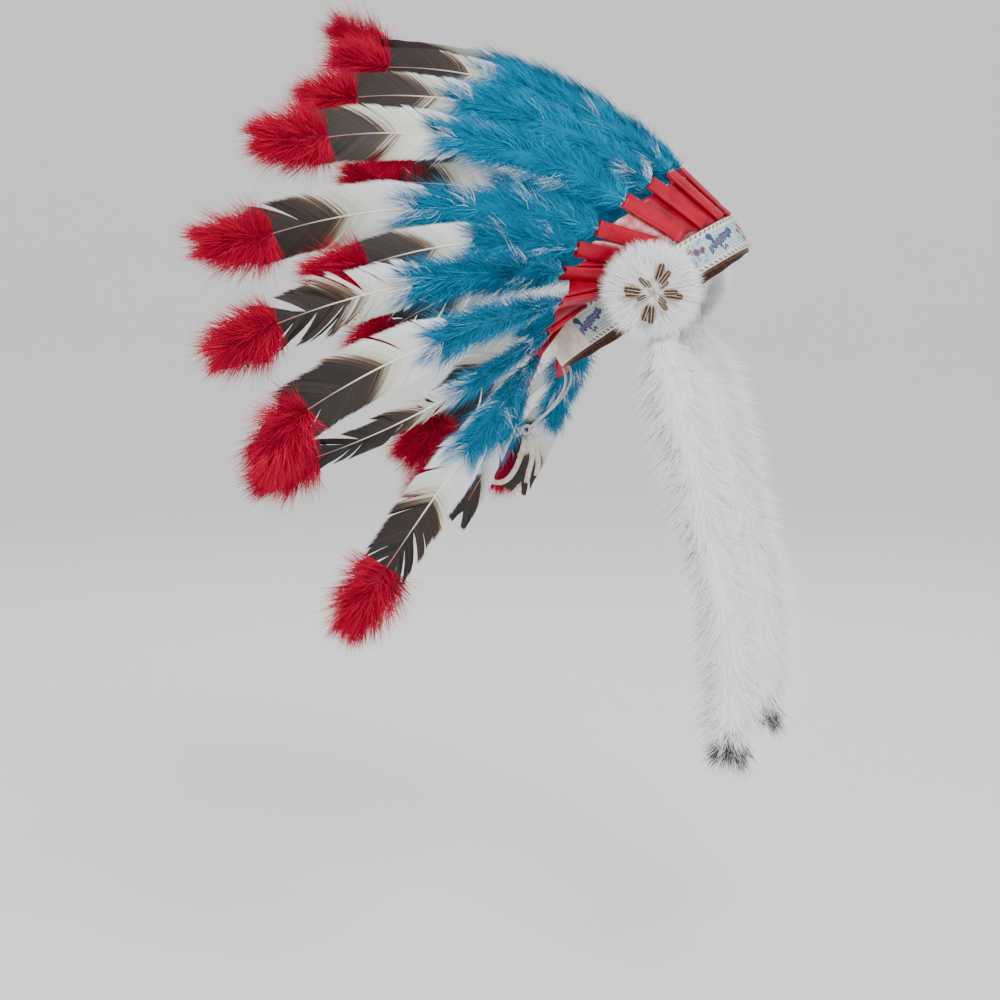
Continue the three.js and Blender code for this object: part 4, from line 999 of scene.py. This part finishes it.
# The rosettes: on each side a disc of long white fur, sewn to a short pad on the trim, with a
# cluster of small striped feathers fixed round a button in its middle.
ROSETTE_RADIUS, ROSETTE_DEPTH = 0.049, 0.012
ROSETTE_FORWARD, ROSETTE_UP, ROSETTE_STANDOFF = 0.024, 0.006, 0.021
ROSETTE_LEAN, ROSETTE_TURN = radians(10), radians(16)
ROSETTE_HAIRS, ROSETTE_HAIR, HAIR_TAPER = 10000, 0.00028, np.array([1, 0.8, 0])
fur_finish, fur_shader = finish_of("white_fur", Roughness=0.8, Specular_IOR_Level=0.3, Sheen_Weight=0.7,
                                   Sheen_Roughness=0.5)
fur_tone, _ = chart_of(fur_finish)
# Low tones give the drops' black ends, and the painted shade of the dark hairs on their rear edges.
coloured(fur_finish, fur_shader, fur_tone, [
    (0.0, (24, 24, 28)), (0.2, (74, 78, 88)), (0.45, (168, 176, 190)), (0.68, (236, 238, 244)),
    (0.85, (252, 252, 254)), (1.0, (254, 254, 255))])
relief(fur_finish, fur_shader, noise_in(fur_finish, 900), 0.0003, 0.4)
hackle_finish, hackle_shader = finish_of("striped_hackle", Roughness=0.5, Specular_IOR_Level=0.4)
hackle_edge, hackle_run = chart_of(hackle_finish)
stripes = blend_of(hackle_finish, hackle_edge, [
    (0.0, (190, 176, 150)), (0.06, (78, 56, 44)), (0.2, (40, 28, 22)), (0.38, (66, 46, 34)),
    (0.5, (150, 120, 84)), (0.64, (196, 176, 132)), (0.78, (108, 78, 56)), (1.0, (70, 50, 40))])
downy = blend_of(hackle_finish, hackle_edge, [(0.0, (224, 220, 214)), (1.0, (178, 170, 166))])
hackle_share = blend_of(hackle_finish, hackle_run, [(0.26, (0, 0, 0, 1)), (0.4, (1, 1, 1, 1))])
link(hackle_finish, hackle_shader, "Base Color", mixed_of(hackle_finish, hackle_share, downy, stripes))
relief(hackle_finish, hackle_shader, noise_in(hackle_finish, 1500), 0.0002, 0.5)


def trim_reach(forward):
    return (HEAD_WIDTH / 2 + TRIM_OUTER) * (1 - (forward / (HEAD_LENGTH / 2 + TRIM_OUTER)) ** 2) ** 0.5


rosette_out = np.array([sin(ROSETTE_TURN) * cos(ROSETTE_LEAN), cos(ROSETTE_TURN) * cos(ROSETTE_LEAN),
                        -sin(ROSETTE_LEAN)])
rosette_forward = np.array([cos(ROSETTE_TURN), -sin(ROSETTE_TURN), 0])
rosette_up = np.cross(rosette_forward, rosette_out)
rosette_aside = trim_reach(ROSETTE_FORWARD * cos(BAND_TILT)) + ROSETTE_STANDOFF
rosette_middle = np.array([ROSETTE_FORWARD, rosette_aside, ROSETTE_UP])
HACKLES = [
    (74, 1.02, 1.0), (56, 0.92, 0.85), (40, 0.6, 0.6), (132, 0.7, 0.6), (118, 0.45, 0.5), (170, 1.0, 1.0),
    (182, 0.9, 0.9), (200, 0.55, 0.6), (252, 0.95, 1.0), (266, 1.0, 1.0), (310, 0.72, 0.65),
    (325, 0.5, 0.5), (352, 0.98, 0.95), (4, 0.8, 0.8),
]
HACKLE_LENGTH, HACKLE_WIDTH, HACKLE_BARBS = 0.028, 0.0105, 44
PAD_RINGS = (  # radius, and height over the middle of the fur
    (0.008, -0.016), (0.01, -0.006), (0.026, -0.005), (0.033, -0.001), (0.028, 0.0025),
    (0.012, 0.004), (0.002, 0.0042),
)
BUTTON_RINGS = (0.0035, 0.005), (0.0042, 0.0085), (0.003, 0.0102), (0.0008, 0.0108)


def on_disc(turn, radius, raised):
    turn, radius, raised = np.broadcast_arrays(turn, radius, raised)
    way = np.cos(turn)[..., None] * rosette_forward + np.sin(turn)[..., None] * rosette_up
    return rosette_middle + radius[..., None] * way + raised[..., None] * rosette_out


def hackle(chance, turn, length, width, raised, tilt):
    """One small feather: a leaf of barbs that part at the tip, with a slim pale quill over it."""
    reach, half = length * HACKLE_LENGTH, width * HACKLE_WIDTH / 2
    ahead = cos(turn) * rosette_forward + sin(turn) * rosette_up
    ahead = unit(ahead * cos(tilt) + rosette_out * sin(tilt))
    sideways = unit(np.cross(rosette_out, ahead))
    root = on_disc(np.array(turn), np.array(0.0015), np.array(raised))
    parts = []
    for side in (-1, 1):
        share = np.linspace(0.08, 0.97, HACKLE_BARBS)
        leaf = np.interp(share, [0.08, 0.3, 0.55, 0.75, 0.9, 0.97], [0.35, 0.8, 1, 0.85, 0.45, 0.08])
        span = half * leaf * chance.uniform(0.9, 1.04, HACKLE_BARBS)
        start = root + ahead * (share * reach)[:, None]
        end = start + sideways * (side * span)[:, None] + ahead * (0.03 * reach + span * 0.9)[:, None]
        end = end - rosette_out * (span * 0.22)[:, None]
        control = (start + sideways * (side * span * 0.6)[:, None]
                   + ahead * (0.02 * reach + span * 0.3)[:, None])
        lines = bent(start, control, end, BARB_STOPS)
        taper = 0.00034 * np.array([1.2, 1.2, 1.1, 1, 0.5])
        wide = unit(np.cross(end - start, rosette_out))[:, None] * taper[None, :, None]
        points, faces = ribbons(lines, np.broadcast_to(wide, lines.shape))
        tone = np.linspace(0, 1, BARB_STOPS)[None] * (span / half)[:, None]
        tone = tone + chance.normal(0, 0.03, (HACKLE_BARBS, 1))
        parts.append((points, faces, barb_chart(np.clip(tone, 0.02, 0.98), share)))
    outline = oval(6)
    run = np.linspace(0, 0.9, 8) * reach
    size = 0.0004 * np.linspace(1, 0.3, 8)[:, None, None]
    rings = (root + rosette_out * 0.0003 + ahead * run[:, None, None]
             + size * (outline[:, :1] * sideways + outline[:, 1:] * rosette_out))
    points, faces = sleeve(rings)
    parts.append((points, faces, np.full((len(points), 2), (0.02, 0.3))))
    return joined(*parts)


for side, name in ((1, "left"), (-1, "right")):
    chance = np.random.default_rng(41 if side > 0 else 42)
    flip = np.array([1, side, 1])
    count = ROSETTE_HAIRS
    turn = chance.uniform(0, 2 * pi, count)
    root_radius = ROSETTE_RADIUS * np.sqrt(chance.uniform(0.02, 0.42, count))
    raised = ROSETTE_DEPTH / 2 * chance.uniform(-1, 0.7, count) * (1 - (root_radius / ROSETTE_RADIUS) ** 2)
    locks = np.round(turn * 9 + root_radius * 300) * 0.35
    tip_turn = turn + 0.12 * np.sin(locks * 7.3) + chance.normal(0, 0.06, count)
    reach = root_radius + chance.uniform(0.014, 0.036, count)
    rim_share = 0.97 + 0.05 * np.sin(locks * 3.7) + chance.uniform(-0.14, 0.13, count)
    tip_radius = np.minimum(reach, ROSETTE_RADIUS * rim_share)
    tip_raised = raised * 0.8 + chance.normal(0.0, 0.0025, count)
    tip_raised = tip_raised + 0.003 * (1 - tip_radius / ROSETTE_RADIUS)
    start, end = on_disc(turn, root_radius, raised), on_disc(tip_turn, tip_radius, tip_raised)
    crown = np.maximum(raised, tip_raised) + 0.002
    control = on_disc((turn + tip_turn) / 2, (root_radius + tip_radius) / 2, crown)
    lines = bent(start, control, end, HAIR_STOPS)
    sideways = unit(np.cross(end - start, chance.normal(0, 1, (count, 3)) + 1.5 * rosette_out))
    sides = sideways[:, None] * (ROSETTE_HAIR * HAIR_TAPER)[None, :, None]
    points, faces = ribbons(lines, sides)
    tone = np.clip(0.9 + chance.normal(0, 0.07, count) - 0.1 * (np.sin(locks * 5.1) > 0.6), 0.45, 0.99)
    hair = points, faces, ribbon_chart(tone)
    rings = []
    circle = np.linspace(0, 2 * pi, 40, endpoint=False)
    for radius, depth in PAD_RINGS:
        rings.append(on_disc(circle, radius * (1 + 0.04 * np.sin(circle * 7)), depth))
    points, faces = sleeve(np.array(rings))
    pad = points, faces, np.full((len(points), 2), (0.9, 0.5))
    points, faces, chart = joined(pad, hair)
    placed(mesh_of(f"rosette_{name}_fur", points * flip, faces, fur_finish, chart), "fur",
           f"rosette_{name}")
    leaves = []
    for i, (degrees, long, wide) in enumerate(HACKLES):
        raised, tilt = 0.0112 + 0.0008 * (i % 3), radians(3 + 6 * (i % 2))
        leaves.append(hackle(chance, radians(degrees), long, wide, raised, tilt))
    rings = [on_disc(circle, radius, depth) for radius, depth in BUTTON_RINGS]
    points, faces = sleeve(np.array(rings))
    leaves.append((points, faces, np.full((len(points), 2), (0.3, 0.3))))
    points, faces, chart = joined(*leaves)
    placed(mesh_of(f"rosette_feathers_{name}_hackles", points * flip, faces, hackle_finish, chart), "hackle",
           f"rosette_feathers_{name}")

# The fur drops: a long strip of white fur on a soft backing hangs from under each rosette. The hair
# is long and combed down and out, and black at the very end. Along the rear edge, most on the
# inner side, greyer and dark hairs are painted shade.
DROP_LENGTH, DROP_WIDTH, DROP_DEPTH, DROP_SEAT, DROP_STANDOFF = 0.47, 0.092, 0.038, 0.029, 0.01
DROP_FORWARD = {"left": 0.112, "right": 0.102}
STRIP_WIDTH, STRIP_THICKNESS = 0.026, 0.0016
DROP_HAIRS, DROP_HAIR, DROP_END = 15500, 0.00029, 0.955
DROP_STATIONS = np.array([
    (0.004, 0, 0, 0.1, 0.1, 0.08), (0.045, 0, 0, 0.12, 0.12, 0.08), (0.08, 0.02, -0.2, 0.14, 0.14, 0.08),
    (0.101, 0.06, 0.4, 0.3, 0.32, 0.36), (0.16, 0.16, 0.9, 0.46, 0.54, 1), (0.23, 0.29, 1, 0.52, 0.46, 1),
    (0.3, 0.43, 1.1, 0.44, 0.5, 1), (0.37, 0.52, 1.1, 0.48, 0.42, 1), (0.44, 0.61, 1, 0.42, 0.47, 1),
    (0.51, 0.73, 0.9, 0.45, 0.4, 0.96), (0.58, 0.83, 0.8, 0.44, 0.44, 0.94),
    (0.65, 0.92, 0.7, 0.5, 0.38, 0.92), (0.72, 0.97, 0.6, 0.48, 0.42, 0.9),
    (0.79, 1, 0.5, 0.52, 0.36, 0.86), (0.86, 1, 0.4, 0.48, 0.38, 0.8),
    (0.92, 0.99, 0.3, 0.4, 0.28, 0.6), (0.97, 0.96, 0.3, 0.2, 0.2, 0.4), (1, 0.93, 0.3, 0.02, 0.02, 0.08),
])
rear_edge = np.array([DROP_SEAT - 0.1 * DROP_WIDTH, 0, -0.004 * DROP_LENGTH])
drop_seat = trim_reach(rear_edge @ level((1, 0, 0))) + GAP + 0.04 * DROP_DEPTH


def forward_of(ahead):
    """The direction nearest the front that is square to each direction in ahead."""
    return unit(np.array([1.0, 0, 0]) - ahead[:, :1] * ahead)


for side, name in ((1, "left"), (-1, "right")):
    chance = np.random.default_rng(61 if side > 0 else 62)
    flip = np.array([1, side, 1])

    def hang(share):
        down_share, forward, out, fore, aft, deep = (
            np.interp(share, DROP_STATIONS[:, 0], column) for column in DROP_STATIONS.T)
        forward = DROP_SEAT + forward * (DROP_FORWARD[name] - DROP_SEAT)
        place = np.stack([forward, drop_seat + out * DROP_STANDOFF, -down_share * DROP_LENGTH], -1)
        return place, (fore + aft) * DROP_WIDTH / 2, deep * DROP_DEPTH / 2

    share = np.linspace(0.004, DROP_END, 70)
    middle, _, _ = hang(share)
    ahead = unit(np.gradient(middle, axis=0))
    wide_way = forward_of(ahead)
    strip_across = np.linspace(-STRIP_WIDTH / 2, STRIP_WIDTH / 2, 7)
    grid = middle[:, None] + wide_way[:, None] * strip_across[None, :, None]
    points, faces, chart = slab(grid, STRIP_THICKNESS)
    strip = placed(mesh_of(f"fur_drop_{name}_backing", points * flip, faces, cotton_finish, chart * 40),
                   "cotton", f"fur_drop_{name}")

    count = DROP_HAIRS
    share = chance.uniform(0.075, DROP_END, count)
    place, half_wide, half_deep = hang(share)
    ahead = unit(hang(share + 0.01)[0] - hang(share - 0.01)[0])
    fore = forward_of(ahead)
    out = -np.cross(ahead, fore)
    turn = chance.uniform(0, 2 * pi, count)
    across_share = np.cos(turn)
    out_share = np.sin(turn)
    start = (place + fore * (across_share * STRIP_WIDTH / 2 * chance.uniform(0.2, 1, count))[:, None]
             + out * (out_share * 0.002)[:, None])
    lock = np.sin(share * 260 + np.round(turn * 4) * 2.1)
    spread = half_wide * (0.8 + 0.1 * lock + chance.uniform(-0.15, 0.3, count))
    depth = half_deep * chance.uniform(0.5, 1.15, count)
    sag = chance.uniform(0.008, 0.024, count) + 0.004 * lock
    end = (place + fore * (across_share * spread)[:, None] + out * (out_share * depth)[:, None]
           + ahead * sag[:, None] + chance.normal(0, 0.0022, (count, 3)))
    control = (place + fore * (across_share * spread * 0.55)[:, None] + out * (out_share * depth)[:, None]
               + ahead * (sag * 0.1)[:, None])
    lines = bent(start, control, end, HAIR_STOPS)
    sideways = unit(np.cross(end - start, chance.normal(0, 1, (count, 3)) + 1.2 * out))
    sides = sideways[:, None] * (DROP_HAIR * HAIR_TAPER)[None, :, None]
    points, faces = ribbons(lines, sides)
    rear = np.clip(-across_share, 0, 1)
    inward = np.clip(-out_share, 0, 1)
    # Greyer hairs towards the rear edge and dark hairs at the rear edge, most on the inner side, are painted
    # shade. The black at the very end is the fur's own colour.
    tone = 0.92 + chance.normal(0, 0.06, count) - 0.2 * rear * chance.random(count)
    dark = chance.random(count) < 0.45 * rear * (0.35 + inward)
    tone = np.where(dark, chance.uniform(0.05, 0.4, count), tone)
    tone = np.where((share > 0.915) & (chance.random(count) < 0.85), chance.uniform(0.0, 0.16, count), tone)
    hair = points, faces, ribbon_chart(np.clip(tone, 0.01, 0.99))
    core_share = np.linspace(0.08, DROP_END, 40)
    middle, half_wide, half_deep = hang(core_share)
    ahead = unit(np.gradient(middle, axis=0))
    fore = forward_of(ahead)
    out = -np.cross(ahead, fore)
    outline = oval(14)
    rings = (middle[:, None] + fore[:, None] * outline[:, :1] * (half_wide * 0.42)[:, None, None]
             + out[:, None] * outline[:, 1:] * (half_deep * 0.42)[:, None, None])
    points, faces = sleeve(rings)
    core_tone = np.where(np.repeat(core_share, 14) > 0.91, 0.05, 0.9)
    core = points, faces, np.stack([core_tone, np.full(len(points), 0.5)], 1)
    points, faces, chart = joined(core, hair)
    fur = placed(mesh_of(f"fur_drop_{name}_fur", points * flip, faces, fur_finish, chart), "fur",
                 f"fur_drop_{name}")
